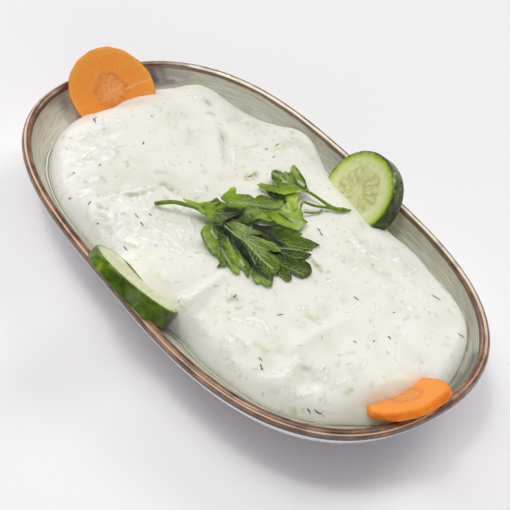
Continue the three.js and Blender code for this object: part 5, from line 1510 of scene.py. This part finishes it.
def build_dill():
    parts = []
    for index, spec in enumerate(DILL_FLECKS):
        darkness = spec[4]
        if darkness < SUNK_BELOW:
            continue
        ends_x, ends_y, _ = pixel_to_plan(fleck_ends(spec), fine_map)
        run_x, run_y = ends_x[1] - ends_x[0], ends_y[1] - ends_y[0]
        length = max(FLECK_SHOWS * math.hypot(run_x, run_y), 0.9)
        parts.append(fleck(ends_x.mean(), ends_y.mean(), math.atan2(run_y, run_x), length,
                           0.12 + 0.15 * darkness, 0.95 - 0.95 * darkness, index))
    peel, peel_faces, _ = stem([(px, py, PEEL_EDGE_LIFT) for px, py in PEEL_EDGE], PEEL_EDGE_RADII)
    parts.append((peel, peel_faces, {"tone": np.full(len(peel), PEEL_EDGE_TONE)}))
    golden = math.pi * (3 - math.sqrt(5))
    for index in range(FINE_FLECKS):
        turn = np.array(index * golden)
        near, heading, length, tone = lattice(np.full(4, index), np.arange(4), 21)
        share = math.sqrt((index + near) / FINE_FLECKS)
        rim = outline_point(edge_inset(turn % (2 * math.pi)) + FINE_FLECK_INSET, turn)
        x, y = (float(reach) * share for reach in rim)
        parts.append(fleck(x, y, math.pi * heading, 0.7 + 1.6 * length, FINE_FLECK_WIDTH, 0.7 + 0.3 * tone,
                           FINE_FLECK_SEED + index))
    points, faces, attributes = join_parts(parts)
    mesh_piece("dill_flecks", points, faces, dill_look(), "haydari", attributes)


# ---- Camera, floor and light ----

FLOOR_REACH = 6
FLOOR_DROP = 0.0002
# Soft studio lights: name, azimuth, elevation, strength, spread in degrees.
LIGHTS = [
    ("key", 225, 75, 0.5, 30), ("key_core", 235, 73, 0.43, 9), ("left_high", 208, 58, 0.43, 30),
    ("far_high", 92, 75, 0.42, 30), ("near_high", 308, 75, 0.27, 30), ("far_fill", 96, 43, 0.79, 30),
    ("left_fill", 180, 20, 0.66, 30), ("front_fill", 330, 20, 0.56, 30), ("near_low", 285, 16, 0.12, 34),
]
FILL_BELOW = 50
HIGH_COLOUR = (1.0, 0.995, 0.98)
FILL_COLOUR = (1.0, 0.965, 0.985)
WORLD_COLOUR = (0.97, 0.98, 1.0, 1.0)
WORLD_STRENGTH = 0.05


def build_camera():
    camera = bpy.data.cameras.new("camera")
    camera.sensor_width = SENSOR_WIDTH
    camera.lens = SENSOR_WIDTH * FOCAL_PIXELS / IMAGE_SIDE
    camera.clip_start = 0.01
    camera.clip_end = 20
    holder = add_object("camera", camera)
    axes = np.column_stack([RIGHT, UP, BACK])
    holder.matrix_world = Matrix.Translation(Vector(EYE * MM)) @ Matrix(axes.tolist()).to_4x4()
    bpy.context.scene.camera = holder


def build_floor():
    look = Look("floor", Specular_IOR_Level=0.2, Roughness=0.7)
    look.feed(look.shader.inputs["Base Color"], look.ramp(look.noise(3, 2), (0.3, 243, 243, 244), (0.7, 246, 246, 247)))
    mesh = bpy.data.meshes.new("floor")
    corners = [(-1, -1), (1, -1), (1, 1), (-1, 1)]
    mesh.from_pydata([(FLOOR_REACH * x, FLOOR_REACH * y, -FLOOR_DROP) for x, y in corners], [], [(0, 1, 2, 3)])
    mesh.materials.append(look.material)
    floor = add_object("floor", mesh)


def build_lights():
    for name, azimuth, elevation, strength, spread in LIGHTS:
        light = bpy.data.lights.new(name, "SUN")
        light.energy = strength
        light.angle = math.radians(spread)
        light.color = FILL_COLOUR if elevation < FILL_BELOW else HIGH_COLOUR
        turn, rise = math.radians(azimuth), math.radians(elevation)
        source = Vector((math.cos(rise) * math.cos(turn), math.cos(rise) * math.sin(turn), math.sin(rise)))
        add_object(name, light).rotation_euler = source.to_track_quat("Z", "Y").to_euler()
    world = bpy.data.worlds.new("studio")
    world.use_nodes = True
    background = world.node_tree.nodes["Background"].inputs
    background["Color"].default_value = WORLD_COLOUR
    background["Strength"].default_value = WORLD_STRENGTH
    bpy.context.scene.world = world
    bpy.context.scene.view_settings.view_transform = "Standard"


build_dish()
build_yogurt()
build_film()
build_slices()
build_parsley()
build_dill()
build_camera()
build_floor()
build_lights()
